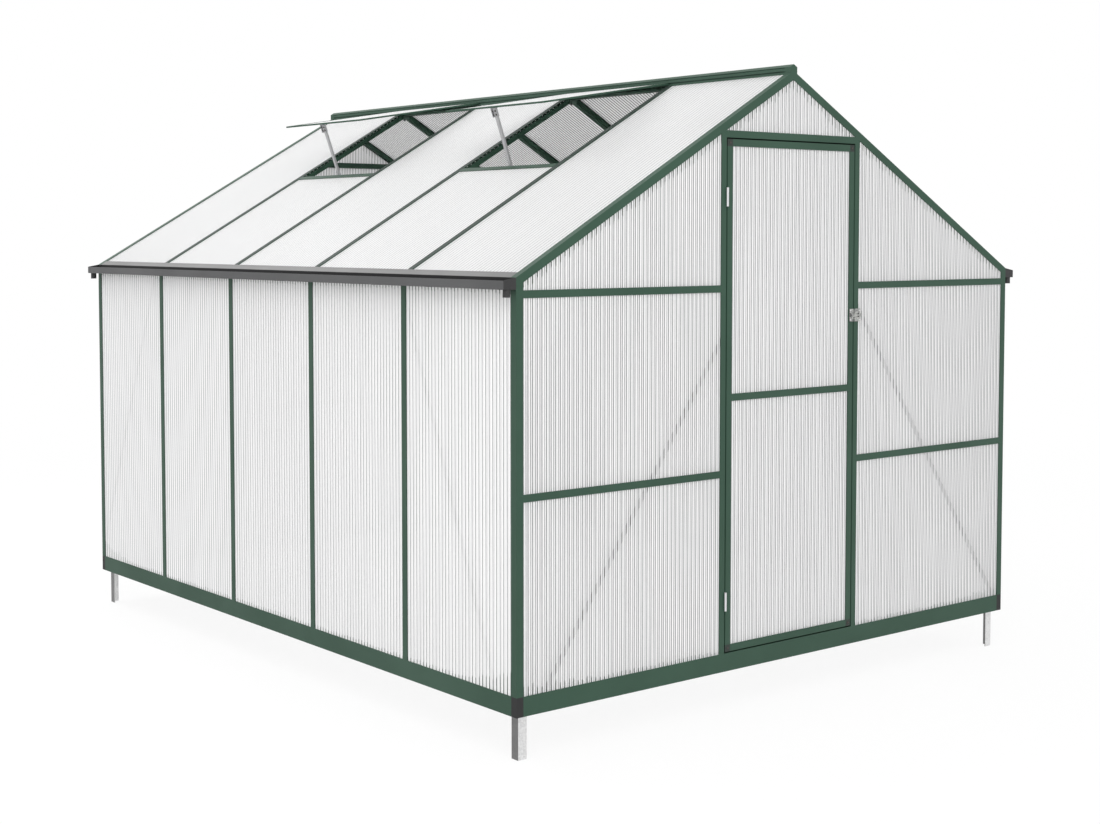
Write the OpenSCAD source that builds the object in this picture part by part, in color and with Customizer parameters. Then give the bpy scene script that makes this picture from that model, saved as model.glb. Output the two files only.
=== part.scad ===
// Walk-in polycarbonate greenhouse: a powder-coated aluminium frame with twin-wall sheets,
// a hinged door, two propped roof vents, gutters, and four ground stakes.
// X runs across the gable, Y along the length with the door at low Y, Z up.
// The origin is at the centre of the plan, level with the tips of the stakes.

/* [Overall] */
// Width across the gable, outside the corner posts
width = 2528; // [1900:4:3400]
// Spacing of the wall and roof bars along the length
bay_pitch = 620; // [450:5:800]
// Number of bays along each side wall
bay_count = 5; // [3:1:8]
// Height of the roof plane above the base underside, at the side wall
eaves_height = 1410; // [1250:5:1900]
// Slope of the roof, in degrees
roof_pitch = 29.8; // [24:0.1:36]

/* [Frame bars] */
// Depth of every bar and post, and face width of the corner posts and rafters
frame_d = 28; // [22:1:40]
// Face width of the wall and roof bars
bar_w = 28; // [24:1:40]
// Height of the horizontal rails
rail_h = 25; // [22:1:40]
// Wall thickness of the extrusions
wall = 2; // [1.5:0.1:3]
// Thickness of the flange in front of a sheet
flange = 2.5; // [1.5:0.1:4]
// Distance from a gable face to the first bay line
end_offset = 16; // [10:1:40]
// Height of the gable's middle rail above the base underside
mid_rail_z = 692; // [400:1:900]
// Height of the gable's eaves rail above the base underside
eaves_rail_z = 1344; // [1000:1:1700]
// Gap left where two sloping faces meet
slope_gap = 0.2; // [0.1:0.1:0.5]

/* [Base and stakes] */
// Height of the base frame
base_h = 65; // [40:1:120]
// Wall thickness of the base channel
base_wall = 2.5; // [1.5:0.1:4]
// Length of the stakes below the base frame
stake_drop = 150; // [80:5:300]
// Length of the stakes inside the base frame
stake_grip = 40; // [25:1:40]
// Leg width of the angle stakes
stake_leg = 35; // [25:1:50]
// Thickness of the stakes
stake_t = 2.5; // [1.5:0.1:4]

/* [Sheets] */
// Thickness of the twin-wall sheets
sheet_t = 4; // [4:0.5:8]
// Thickness of each skin of a sheet
skin = 0.5; // [0.3:0.1:1]
// Thickness of the ribs between the skins
rib = 0.6; // [0.3:0.1:1]
// Spacing of the ribs
flute_pitch = 19; // [6:0.5:30]
// Clearance on each face of a sheet in its groove
sheet_gap = 0.3; // [0.1:0.1:0.6]
// Depth of the sheet grooves
groove_d = 9; // [6:0.5:12]
// Length of sheet edge held in a groove
grip = 8; // [5:0.5:11]

/* [Ridge] */
// Width of the ridge beam
ridge_w = 35; // [30:1:60]
// Height of the ridge's shoulders above the roof plane
ridge_stand = 25; // [20:1:40]
// Depth of the ridge beam below its sheet grooves
ridge_foot = 9; // [7:1:40]
// Height and depth of the grooves below the ridge's shoulders
cap_groove = 3; // [2:0.5:4]
// Height and depth of the vent hinge channel in the ridge's sides
hinge_slot = 5; // [4:0.5:6]
// Height of the vent hinge channel's middle above the roof plane
hinge_rise = 7.4; // [7:0.1:11]

/* [Gutters] */
// Width of the gutters
gutter_w = 50; // [35:1:80]
// Height of the gutters' back wall
gutter_h = 38; // [28:1:60]
// Height of the gutters' front wall
gutter_front = 29; // [20:1:50]
// Wall thickness of the gutters
gutter_t = 1.8; // [1.2:0.1:3]
// Width of the lip turned inwards along the gutters' front wall
gutter_lip = 4; // [2:1:8]
// Chamfer along the gutters' lower front edge
gutter_chamfer = 2; // [1:0.5:2]
// Length of the end pieces
gutter_end = 36; // [32:1:60]
// Extra wall thickness of the end pieces
gutter_end_extra = 0.6; // [0.2:0.1:1]
// Outside diameter of the outlet spigots
spigot_d = 24; // [16:1:32]
// Length of the outlet spigots
spigot_h = 25; // [15:1:60]
// Distance of the outlets from the gable faces
spigot_end = 13; // [13:0.5:18]
// Distance of the outlets from the middle of the gutter, away from the wall
spigot_shift = 4; // [0:1:5]

/* [Door] */
// Clear width between the door posts
doorway_w = 672; // [560:2:900]
// Face width of the door posts
door_post_w = 24; // [22:1:40]
// Face width of the door's frame
door_bar = 25; // [22:1:40]
// Thickness of the door leaf
door_d = 24; // [20:1:27]
// Gap around the door leaf
door_gap = 5; // [5:0.5:10]
// Height of the door's middle rail above the base underside
door_rail_z = 961; // [700:1:1200]
// Height of the two hinges above the base underside
hinge_low_z = 251; // [160:1:400]
// Height of the upper hinge
hinge_high_z = 1677; // [1300:1:1800]
// Length of a hinge
hinge_l = 66; // [48:3:90]
// Distance of the hinge pins from the middle of the door gap, towards the post
hinge_shift = 2; // [0:0.5:2]
// Diameter of the hinge knuckles
knuckle_d = 9; // [8:0.5:12]
// Diameter of the hinge pins
pin_d = 5; // [3:0.5:6]
// Thickness of the hinge leaves
leaf_t = 1.5; // [1:0.1:2]
// Height of the latch above the base underside
latch_z = 1245; // [900:1:1500]
// Height of the latch plates
latch_h = 47; // [40:1:80]
// Width of the latch plate on the door
latch_w = 22; // [18:1:24]
// Width of the keeper plate, which reaches past the door post
keeper_w = 33; // [26:1:45]
// Thickness of the latch plates
latch_t = 3; // [2:0.5:4]
// Diameter of the latch bolt
bolt_d = 7; // [5:1:9]

/* [Vents] */
// Distance of the vent sill from the wall, along the slope
sill_at = 778; // [600:1:1000]
// Length of a vent sash from its hinge to its free edge
sash_l = 635; // [450:5:800]
// Gap between the sashes of two neighbouring bays
sash_gap = 10; // [6:1:40]
// Face width of the sash frame
sash_bar = 18; // [15:1:30]
// Thickness of the sash frame on each side of its sheet
sash_lip = 1; // [0.8:0.1:3]
// Gap between the sashes and the ridge
sash_head = 1.5; // [1:0.1:3]
// Angle that the vents stand open from the roof plane
vent_open = 20.6; // [12:0.1:30]
// Width of the stays' channels
stay_w = 14; // [10:1:20]
// Depth of the stays' channels
stay_d = 9; // [8:1:12]
// Wall thickness of the stays and their brackets
stay_t = 2; // [1.5:0.1:2.5]
// Length of the ears on the stays' upper brackets
ear_l = 35; // [28:1:50]
// Diameter of the stay pins
stay_pin_d = 5; // [4:0.5:6]
// Spacing of the slots along the bars beside a vent
slot_pitch = 22; // [16:1:60]
// Length of the slots
slot_l = 10; // [6:1:12]
// Height of the slots
slot_h = 3.4; // [2:0.1:4]

/* [Braces] */
// Width of the diagonal braces
brace_w = 18; // [12:1:30]
// Thickness of the diagonal braces
brace_t = 2; // [1:0.5:3]
// Distance of the first brace's foot from its corner, in each pair
brace_foot = 110; // [80:5:200]
// Distance of the second gable brace's foot from its corner
second_foot = 48; // [48:1:150]
// Height of the first gable brace's upper end above the base underside
brace_top_z = 1195; // [1000:5:1330]
// Extra height of the second gable brace's upper end
brace_lift = 105; // [0:5:120]
// Distance of the second wall brace's upper end from the bar beside it
brace_shift = 65; // [30:5:120]

/* [Hidden] */
$fn = 48;

green = [0.26, 0.36, 0.30];
charcoal = [0.25, 0.25, 0.26];
silver = [0.78, 0.78, 0.78];
milky = [0.93, 0.93, 0.93, 0.7];

half_w = width / 2;
length = bay_count * bay_pitch + 2 * end_offset;
half_l = length / 2;
base_z = stake_drop;
base_top = base_z + base_h;
groove_w = sheet_t + 2 * sheet_gap;
sheet_in = flange + sheet_gap;
ridge_half = ridge_w / 2;
door_half = doorway_w / 2;
door_post_out = door_half + door_post_w;
eaves_rail_bottom = base_z + eaves_rail_z;
eaves_rail_top = eaves_rail_bottom + rail_h;
mid_rail_bottom = base_z + mid_rail_z;
mid_rail_top = mid_rail_bottom + rail_h;
slope_depth = frame_d / cos(roof_pitch);
shoulder_z = floor(roof_z(ridge_half) + ridge_stand);
hinge_z = roof_z(ridge_half) + hinge_rise;
gutter_top = base_z + eaves_height;
gutter_bottom = gutter_top - gutter_h;
eaves_bottom = gutter_bottom;
lintel_top = floor(under_z(door_half));
lintel_bottom = lintel_top - rail_h;
door_bottom = base_top + door_gap;
door_top = lintel_bottom - door_gap;
leaf_half = door_half - door_gap;
roof_run = (half_w - ridge_half) / cos(roof_pitch);
sash_t = groove_w + 2 * sash_lip;
vent_droop = roof_pitch - vent_open;
// How far the braces' ends reach over what they are bolted to
brace_run_out = 6;
far = 2 * (width + length);

// Height of the roof's outer plane at a distance x from the centre line
function roof_z(x) = base_z + eaves_height + (half_w - abs(x)) * tan(roof_pitch);

// Height of the underside of the rafters at a distance x from the centre line
function under_z(x) = roof_z(x) - slope_depth;

// Position along Y of bar number k, counted from the front gable
function bar_y(k) = -half_l + end_offset + k * bay_pitch;

// Clear limits along Y of bay number i, between the faces of its bars
function bay_lo(i) = i == 1 ? -half_l + frame_d : bar_y(i - 1) + bar_w / 2;
function bay_hi(i) = i == bay_count ? half_l - frame_d : bar_y(i) - bar_w / 2;

// A vent is fitted in every second bay
function has_vent(i) = i % 2 == 0;
vent_bays = [for (i = [1 : bay_count]) if (has_vent(i)) i];

// ---------- placing helpers ----------

// Draws its children at both ends of the building
module at_both_gables() {
    children();
    mirror([0, 1, 0]) children();
}

// Draws its children on both sides of the building
module at_both_sides() {
    children();
    mirror([1, 0, 0]) children();
}

// Frame on the left roof slope: x runs up the slope, z points out of the roof
module on_roof() {
    translate([-half_w, 0, base_z + eaves_height])
        rotate([0, -roof_pitch, 0])
            children();
}

// Frame on an open vent: the origin is its hinge line, -x runs to its free edge
module on_vent() {
    translate([-ridge_half, 0, hinge_z])
        rotate([0, vent_open - roof_pitch, 0])
            children();
}

// Carries a section drawn in XZ along Y from y0 to y1
module along_y(y0, y1) {
    translate([0, y1, 0])
        rotate([90, 0, 0])
            linear_extrude(y1 - y0)
                children();
}

// Carries a section drawn in YZ along X from x0 to x1
module along_x(x0, x1) {
    translate([x0, 0, 0])
        rotate([90, 0, 90])
            linear_extrude(x1 - x0)
                children();
}

// Keeps the part of its children that lies between x0 and x1
module between_x(x0, x1) {
    intersection() {
        children();
        translate([x0, -far / 2, -far / 2])
            cube([x1 - x0, far, far]);
    }
}

// Keeps the part of its children that lies below the rafters
module below_rafters(drop) {
    intersection() {
        children();
        along_y(-far / 2, far / 2)
            polygon([
                [-half_w, 0],
                [half_w, 0],
                [half_w, under_z(half_w) - drop],
                [0, under_z(0) - drop],
                [-half_w, under_z(half_w) - drop]
            ]);
    }
}

// ---------- sections ----------

// Hollow bar with its outer face at y = 0 and a sheet groove in one or both sides
module bar_section(w, left = true, right = true, d = frame_d) {
    back = flange + groove_w;
    difference() {
        translate([-w / 2, 0])
            square([w, d]);
        if (left)
            translate([-w / 2 - 1, flange])
                square([groove_d + 1, groove_w]);
        if (right)
            translate([w / 2 - groove_d, flange])
                square([groove_d + 1, groove_w]);
        translate([-w / 2 + wall, back + wall])
            square([w - 2 * wall, d - back - 2 * wall]);
    }
}

// Hollow corner bar with two outer faces, and a sheet groove in each of the other two
module corner_section() {
    back = flange + groove_w;
    difference() {
        square(frame_d);
        translate([frame_d - groove_d, flange])
            square([groove_d + 1, groove_w]);
        translate([flange, frame_d - groove_d])
            square([groove_w, groove_d + 1]);
        translate([back + wall, back + wall])
            square(frame_d - back - 2 * wall);
    }
}

// Twin-wall sheet: two skins joined by evenly spaced ribs, with open ends
module sheet_section(w) {
    cells = floor((w - 2 * rib) / flute_pitch);
    first = -cells * flute_pitch / 2 + rib / 2;
    difference() {
        translate([-w / 2, 0])
            square([w, sheet_t]);
        for (i = [0 : cells - 1])
            translate([first + i * flute_pitch, skin])
                square([flute_pitch - rib, sheet_t - 2 * skin]);
    }
}

// Upright sheet between x0 and x1 and between z0 and z1, its outer skin on the XZ plane
module upright_sheet(x0, x1, z0, z1) {
    translate([(x0 + x1) / 2, 0, z0])
        linear_extrude(z1 - z0)
            sheet_section(x1 - x0);
}

// ---------- base ----------

// Channel of the base frame, open towards the inside of the building
module base_section() {
    difference() {
        square([frame_d, base_h]);
        translate([base_wall, base_wall])
            square([frame_d, base_h - 2 * base_wall]);
    }
}

module base_rails() {
    color(green) {
        at_both_sides()
            translate([-half_w, 0, base_z])
                along_y(-half_l + frame_d, half_l - frame_d)
                    base_section();
        at_both_gables()
            translate([0, -half_l, base_z])
                along_x(-half_w + frame_d, half_w - frame_d)
                    base_section();
    }
}

module base_corners() {
    color(charcoal)
        at_both_sides()
            at_both_gables()
                translate([-half_w, -half_l, base_z])
                    cube([frame_d, frame_d, base_h]);
}

module ground_stakes() {
    color(silver)
        at_both_sides()
            at_both_gables()
                translate([-half_w + frame_d, -half_l + frame_d, 0])
                    linear_extrude(stake_drop + stake_grip)
                        difference() {
                            square(stake_leg);
                            translate([stake_t, stake_t])
                                square(stake_leg);
                        }
}

// ---------- walls ----------

module corner_posts() {
    color(green)
        below_rafters(slope_gap)
            at_both_sides()
                at_both_gables()
                    translate([-half_w, -half_l, base_top])
                        linear_extrude(eaves_height)
                            corner_section();
}

module wall_bars() {
    for (k = [1 : bay_count - 1])
        translate([-half_w, bar_y(k), base_top])
            rotate([0, 0, -90])
                linear_extrude(eaves_bottom - base_top)
                    bar_section(bar_w);
}

module left_wall_bars() {
    color(green)
        wall_bars();
}

module right_wall_bars() {
    color(green)
        mirror([1, 0, 0])
            wall_bars();
}

// Beam on top of a side wall: it holds the wall sheets below and the roof sheets above
module eaves_section() {
    top_out = roof_z(half_w);
    top_in = roof_z(half_w - frame_d);
    groove_floor = frame_d / cos(roof_pitch) - groove_d;
    difference() {
        polygon([
            [-half_w, eaves_bottom],
            [-half_w + frame_d, eaves_bottom],
            [-half_w + frame_d, top_in],
            [-half_w, top_out]
        ]);
        translate([-half_w + flange, eaves_bottom - 1])
            square([groove_w, groove_d + 1]);
        translate([-half_w, top_out])
            rotate(roof_pitch)
                translate([groove_floor, -flange - groove_w])
                    square([2 * groove_d, groove_w]);
        translate([-half_w + wall, eaves_bottom + groove_d + wall])
            square([frame_d - 2 * wall, top_out - eaves_bottom - groove_d - 3 * wall]);
    }
}

module eaves_beam() {
    along_y(-half_l + frame_d, half_l - frame_d)
        eaves_section();
}

module left_eaves_beam() {
    color(charcoal)
        eaves_beam();
}

module right_eaves_beam() {
    color(charcoal)
        mirror([1, 0, 0])
            eaves_beam();
}

// ---------- gutters ----------

spigot_x = -half_w - gutter_w / 2 - spigot_shift;
spigot_y = -half_l + spigot_end;

// Outside of the gutter: a high back wall, a lower front wall and a chamfered lower edge
module gutter_outline(front_top, back_top) {
    translate([-half_w - gutter_w, gutter_bottom])
        polygon([
            [gutter_chamfer, 0],
            [gutter_w, 0],
            [gutter_w, back_top],
            [0, front_top],
            [0, gutter_chamfer]
        ]);
}

// Open channel with a small lip turned inwards along its front wall
module gutter_section(t) {
    difference() {
        gutter_outline(gutter_front, gutter_h);
        translate([-half_w - gutter_w + t, gutter_bottom + t])
            square([gutter_w - 2 * t, gutter_front - 2 * t]);
        translate([-half_w - gutter_w + gutter_lip, gutter_bottom + gutter_front - 2 * t])
            square([gutter_w - gutter_lip - t, gutter_h]);
        translate([-half_w - gutter_w - 1, gutter_bottom + gutter_front])
            square([gutter_w + 1 - t, gutter_h]);
    }
}

module gutter() {
    along_y(-half_l + gutter_end, half_l - gutter_end)
        gutter_section(gutter_t);
}

// End piece of a gutter: a sloping end plate, a short length of channel and an outlet below it
module gutter_end_piece() {
    difference() {
        union() {
            along_y(-half_l, -half_l + gutter_end)
                gutter_section(gutter_t + gutter_end_extra);
            along_y(-half_l, -half_l + gutter_t)
                gutter_outline(gutter_front, gutter_h);
            translate([spigot_x, spigot_y, gutter_bottom - spigot_h])
                cylinder(d = spigot_d, h = spigot_h);
        }
        translate([spigot_x, spigot_y, gutter_bottom - spigot_h - 1])
            cylinder(d = spigot_d - 2 * gutter_t, h = spigot_h + 3 * gutter_t);
    }
}

module left_gutter() {
    color(charcoal)
        gutter();
}

module right_gutter() {
    color(charcoal)
        mirror([1, 0, 0])
            gutter();
}

module left_gutter_ends() {
    color(charcoal)
        at_both_gables()
            gutter_end_piece();
}

module right_gutter_ends() {
    color(charcoal)
        mirror([1, 0, 0])
            at_both_gables()
                gutter_end_piece();
}

// ---------- gables ----------

module rafters() {
    at_both_sides()
        between_x(-half_w, -ridge_half)
            on_roof()
                translate([0, -half_l, 0])
                    along_x(-2 * frame_d, roof_run + 2 * frame_d)
                        mirror([0, 1])
                            corner_section();
}

module front_rafters() {
    color(green)
        rafters();
}

module back_rafters() {
    color(green)
        mirror([0, 1, 0])
            rafters();
}

// Two posts that frame the doorway, or stand in the same places in the back wall
module gable_posts(inner_groove) {
    below_rafters(slope_gap)
        at_both_sides()
            translate([-door_half - door_post_w / 2, -half_l, base_top])
                linear_extrude(far / 2)
                    bar_section(door_post_w, left = true, right = inner_groove);
}

module door_posts() {
    color(green)
        gable_posts(false);
}

module back_posts() {
    color(green)
        mirror([0, 1, 0])
            gable_posts(true);
}

// Horizontal rail between x0 and x1 with its underside at z0
module gable_rail(x0, x1, z0, below = true) {
    translate([0, -half_l, z0 + rail_h / 2])
        along_x(x0, x1)
            rotate(90)
                mirror([0, 1])
                    bar_section(rail_h, left = below);
}

module side_rails() {
    at_both_sides()
        for (z0 = [mid_rail_bottom, eaves_rail_bottom])
            gable_rail(-half_w + frame_d, -door_post_out, z0);
}

module front_rails() {
    color(green)
        side_rails();
}

module back_rails() {
    color(green)
        mirror([0, 1, 0]) {
            side_rails();
            for (z0 = [mid_rail_bottom, eaves_rail_bottom, lintel_bottom])
                gable_rail(-door_half, door_half, z0);
        }
}

module door_lintel() {
    color(green)
        gable_rail(-door_half, door_half, lintel_bottom, below = false);
}

// Three sheets of the column between a corner post and a door post
module gable_column_sheets() {
    x0 = -half_w + frame_d - grip;
    x1 = -door_post_out + grip;
    upright_sheet(x0, x1, base_top, mid_rail_bottom + grip);
    upright_sheet(x0, x1, mid_rail_top - grip, eaves_rail_bottom + grip);
    below_rafters(-grip)
        upright_sheet(x0, x1, eaves_rail_top - grip, lintel_top + 2 * grip);
}

// Sheet in the peak of a gable, above the lintel
module peak_sheet() {
    below_rafters(-grip)
        upright_sheet(-door_half, door_half, lintel_top - grip, under_z(0) + 2 * grip);
}

module front_gable_sheets() {
    color(milky)
        translate([0, -half_l + sheet_in, 0]) {
            at_both_sides()
                gable_column_sheets();
            peak_sheet();
        }
}

module back_gable_sheets() {
    x0 = -door_half - grip;
    x1 = door_half + grip;
    color(milky)
        mirror([0, 1, 0])
            translate([0, -half_l + sheet_in, 0]) {
                at_both_sides()
                    gable_column_sheets();
                peak_sheet();
                upright_sheet(x0, x1, base_top, mid_rail_bottom + grip);
                upright_sheet(x0, x1, mid_rail_top - grip, eaves_rail_bottom + grip);
                upright_sheet(x0, x1, eaves_rail_top - grip, lintel_bottom + grip);
            }
}

// ---------- ridge ----------

// Pointed ridge section with a sheet groove, a vent hinge channel and a cap groove in each side
module ridge_section() {
    core = ridge_half - groove_d;
    groove_foot = roof_z(ridge_half) - (flange + groove_w) / cos(roof_pitch);
    below = groove_foot - ridge_foot;
    difference() {
        polygon([
            [-ridge_half, below],
            [ridge_half, below],
            [ridge_half, shoulder_z],
            [0, shoulder_z + ridge_half * tan(roof_pitch)],
            [-ridge_half, shoulder_z]
        ]);
        for (side = [0, 1])
            mirror([side, 0]) {
                translate([-ridge_half, roof_z(ridge_half)])
                    rotate(roof_pitch)
                        translate([-groove_d, -flange - groove_w])
                            square([2 * groove_d, groove_w]);
                translate([-ridge_half - 1, hinge_z - hinge_slot / 2])
                    square([hinge_slot + 1, hinge_slot]);
                translate([-ridge_half - 1, shoulder_z - 1.5 * cap_groove])
                    square([cap_groove + 1, cap_groove]);
            }
        translate([-core, roof_z(ridge_half) + groove_d])
            square([2 * core, ridge_stand - groove_d - wall]);
        translate([-ridge_half + wall, below + wall])
            square([ridge_w - 2 * wall, ridge_foot - 2 * wall]);
    }
}

module ridge_beam() {
    color(green)
        along_y(-half_l + frame_d, half_l - frame_d)
            ridge_section();
}

// Block at the top of a gable, which joins the two rafters and takes the corners of the sheets
module ridge_end() {
    difference() {
        along_y(-half_l, -half_l + frame_d)
            polygon([
                [-ridge_half, under_z(ridge_half)],
                [0, under_z(0)],
                [ridge_half, under_z(ridge_half)],
                [ridge_half, shoulder_z],
                [0, shoulder_z + ridge_half * tan(roof_pitch)],
                [-ridge_half, shoulder_z]
            ]);
        below_rafters(-groove_d - 1)
            translate([-ridge_w, -half_l + flange, 0])
                cube([2 * ridge_w, groove_w, far]);
        at_both_sides()
            on_roof()
                translate([0, -half_l + frame_d - groove_d, -flange - groove_w])
                    cube([roof_run + groove_d, 2 * groove_d, groove_w]);
    }
}

module ridge_ends() {
    color(green)
        at_both_gables()
            ridge_end();
}

// ---------- roof ----------

module roof_bars() {
    between_x(-half_w + frame_d, -ridge_half)
        on_roof()
            for (k = [1 : bay_count - 1])
                translate([0, bar_y(k), 0])
                    along_x(0, roof_run + 2 * frame_d)
                        mirror([0, 1])
                            bar_section(bar_w);
}

// Row of slots through the web between the grooves of the two bars beside each vent
module vent_bar_slots() {
    first = sill_at + rail_h + slot_pitch;
    last = roof_run - slot_pitch;
    count = floor((last - first) / slot_pitch);
    on_roof()
        for (i = vent_bays)
            for (k = [i - 1, i])
                for (n = [0 : count])
                    translate([first + n * slot_pitch, bar_y(k), -flange - groove_w / 2])
                        cube([slot_l, bar_w - 2 * groove_d + 2, slot_h], center = true);
}

module left_roof_bars() {
    color(green)
        difference() {
            roof_bars();
            vent_bar_slots();
        }
}

module right_roof_bars() {
    color(green)
        mirror([1, 0, 0])
            roof_bars();
}

// Sheet on the slope across bay i, from x0 to x1 up the slope
module slope_sheet(i, x0, x1) {
    y0 = bay_lo(i) - grip;
    y1 = bay_hi(i) + grip;
    translate([0, (y0 + y1) / 2, -sheet_in])
        along_x(x0, x1)
            mirror([0, 1])
                sheet_section(y1 - y0);
}

sheet_foot = frame_d / cos(roof_pitch) - grip;
sheet_head = roof_run + grip / 2;

module left_roof_sheets() {
    color(milky)
        on_roof()
            for (i = [1 : bay_count])
                slope_sheet(i, sheet_foot, has_vent(i) ? sill_at + grip : sheet_head);
}

module right_roof_sheets() {
    color(milky)
        mirror([1, 0, 0])
            on_roof()
                for (i = [1 : bay_count])
                    slope_sheet(i, sheet_foot, sheet_head);
}

// The wall sheets reach into the eaves beam, and stay below the feet of the rafters
wall_sheet_top = min(eaves_bottom + grip, under_z(half_w) - slope_gap);

module wall_sheets() {
    for (i = [1 : bay_count]) {
        y0 = bay_lo(i) - grip;
        y1 = bay_hi(i) + grip;
        translate([-half_w + sheet_in, (y0 + y1) / 2, base_top])
            rotate([0, 0, -90])
                linear_extrude(wall_sheet_top - base_top)
                    sheet_section(y1 - y0);
    }
}

module left_wall_sheets() {
    color(milky)
        wall_sheets();
}

module right_wall_sheets() {
    color(milky)
        mirror([1, 0, 0])
            wall_sheets();
}

// ---------- vents ----------

// Rail across a vented bay, which holds the head of the short roof sheet
module vent_sills() {
    color(green)
        on_roof()
            for (i = vent_bays)
                along_y(bay_lo(i), bay_hi(i))
                    translate([sill_at + rail_h / 2, 0])
                        mirror([0, 1])
                            bar_section(rail_h, right = false);
}

function vent_mid(i) = (bay_lo(i) + bay_hi(i)) / 2;

// Frame of one vent, hooked into the ridge's hinge channel by a tongue
module vent_sash(i) {
    w = bay_pitch - sash_gap;
    inner_l = sash_l - sash_head - 2 * sash_bar;
    tongue_play = 1;
    tongue_t = hinge_slot - 2 * tongue_play;
    translate([0, vent_mid(i), 0]) {
        difference() {
            translate([-sash_l, -w / 2, -sash_t / 2])
                cube([sash_l - sash_head, w, sash_t]);
            translate([-sash_l + sash_bar, -w / 2 + sash_bar, -sash_t])
                cube([inner_l, w - 2 * sash_bar, 2 * sash_t]);
            translate([-sash_l + sash_bar - groove_d, -w / 2 + sash_bar - groove_d, -groove_w / 2])
                cube([inner_l + 2 * groove_d, w - 2 * sash_bar + 2 * groove_d, groove_w]);
        }
        translate([-sash_head - 1, -w / 2 + sash_bar, -tongue_t / 2])
            cube([sash_head + 1 + hinge_slot - 2 * tongue_play, w - 2 * sash_bar, tongue_t]);
    }
}

module vent_sashes() {
    color(green)
        on_vent()
            for (i = vent_bays)
                vent_sash(i);
}

module vent_sheets() {
    w = bay_pitch - sash_gap - 2 * sash_bar + 2 * grip;
    color(milky)
        on_vent()
            for (i = vent_bays)
                translate([0, vent_mid(i), -sheet_t / 2])
                    along_x(-sash_l + sash_bar - grip, -sash_head - sash_bar + grip)
                        sheet_section(w);
}

// Points in XZ of the stay's two pins: the lower beside the sill, the upper below the sash
stay_foot_s = sill_at + rail_h + stay_d;
stay_foot_drop = frame_d / 3;
stay_foot = [
    -half_w + stay_foot_s * cos(roof_pitch) + stay_foot_drop * sin(roof_pitch),
    base_z + eaves_height + stay_foot_s * sin(roof_pitch) - stay_foot_drop * cos(roof_pitch)
];
stay_head_s = sash_l - sash_bar / 2;
stay_head = [
    -ridge_half - stay_head_s * cos(vent_droop) + sash_t / 2 * sin(vent_droop),
    hinge_z - stay_head_s * sin(vent_droop) - sash_t / 2 * cos(vent_droop)
];
stay_run = stay_head - stay_foot;
stay_len = norm(stay_run);
stay_angle = atan2(stay_run[1], stay_run[0]);
ear_play = 0.2;
ear_y = stay_w / 2 + ear_play;
pin_room = 0.5;
stay_back = stay_pin_d / 2 + pin_room + stay_t;

// Frame on a stay: the origin is its lower pin, z runs along it and -x faces out of the roof
module on_stay() {
    translate([stay_foot[0], 0, stay_foot[1]])
        rotate([0, 90 - stay_angle, 0])
            children();
}

// Bar across the stay from ear to ear, at a point of the stay's own XZ plane
module stay_pin(x, z) {
    half = ear_y + stay_t;
    translate([x, half, z])
        rotate([90, 0, 0])
            cylinder(d = stay_pin_d, h = 2 * half);
}

// Channel of a stay, open towards the inside of the building
module stay_channel() {
    over = stay_d / 2;
    difference() {
        translate([-stay_back, -stay_w / 2, -over])
            cube([stay_d, stay_w, stay_len - over]);
        translate([-stay_back + stay_t, -stay_w / 2 + stay_t, -over - 1])
            cube([stay_d, stay_w - 2 * stay_t, stay_len + 2]);
    }
}

// Bracket below the sash: two drilled ears beside the channel, joined by a plate on the sash
module upper_bracket() {
    reach = 3 * stay_d / 2;
    hole_x = -reach + stay_pin_d;
    difference() {
        intersection() {
            on_stay()
                for (y = [-ear_y - stay_t, ear_y])
                    translate([-reach, y, stay_len - ear_l])
                        cube([reach + stay_d / 2, stay_t, 2 * ear_l]);
            on_vent()
                translate([-far, -far / 2, -far - sash_t / 2])
                    cube([far, far, far]);
        }
        on_stay()
            for (z = [ear_l / 3, ear_l * 3 / 4])
                stay_pin(hole_x, stay_len - z);
    }
    on_vent()
        translate([-sash_l, -ear_y - stay_t, -sash_t / 2 - stay_t])
            cube([sash_bar, 2 * (ear_y + stay_t), stay_t]);
}

// Bracket on the sill: a plate on its upper side, and an ear on each side of the channel
module lower_bracket() {
    on_roof()
        translate([sill_at + rail_h, 0, -stay_foot_drop]) {
            translate([0, -ear_y - stay_t, -stay_d])
                cube([stay_t, 2 * (ear_y + stay_t), 2 * stay_d]);
            for (y = [-ear_y - stay_t, ear_y])
                translate([0, y, -stay_d / 2])
                    cube([3 * stay_d / 2, stay_t, stay_d]);
        }
}

// Stay of one vent with both its brackets and pins
module vent_stay() {
    on_stay() {
        stay_channel();
        stay_pin(0, 0);
        stay_pin(0, stay_len - ear_l / 2);
    }
    upper_bracket();
    lower_bracket();
}

module vent_stays() {
    color(silver)
        for (i = vent_bays)
            translate([0, vent_mid(i), 0])
                vent_stay();
}

// ---------- braces ----------

// Flat diagonal strip in the XZ plane from point a to point b, cut off upright at both ends
module brace_strip(a, b) {
    run = b - a;
    rotate([90, 0, 0])
        translate([0, 0, -brace_t])
            linear_extrude(brace_t)
                intersection() {
                    translate(a)
                        rotate(atan2(run[1], run[0]))
                            translate([-brace_w, -brace_w / 2])
                                square([norm(run) + 2 * brace_w, brace_w]);
                    translate([min(a[0], b[0]), 0])
                        square([abs(run[0]), far]);
                }
}

// The two braces of the front gable, seen from outside: the left one stands a little lower
module gable_braces() {
    foot_z = base_top - brace_run_out;
    head_x = door_half + brace_run_out;
    head_z = base_z + brace_top_z;
    color(silver)
        at_both_gables()
            translate([0, -half_l + frame_d, 0]) {
                brace_strip([-half_w + brace_foot, foot_z], [-head_x, head_z]);
                mirror([1, 0, 0])
                    brace_strip([-half_w + second_foot, foot_z], [-head_x, head_z + brace_lift]);
            }
}

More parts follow.
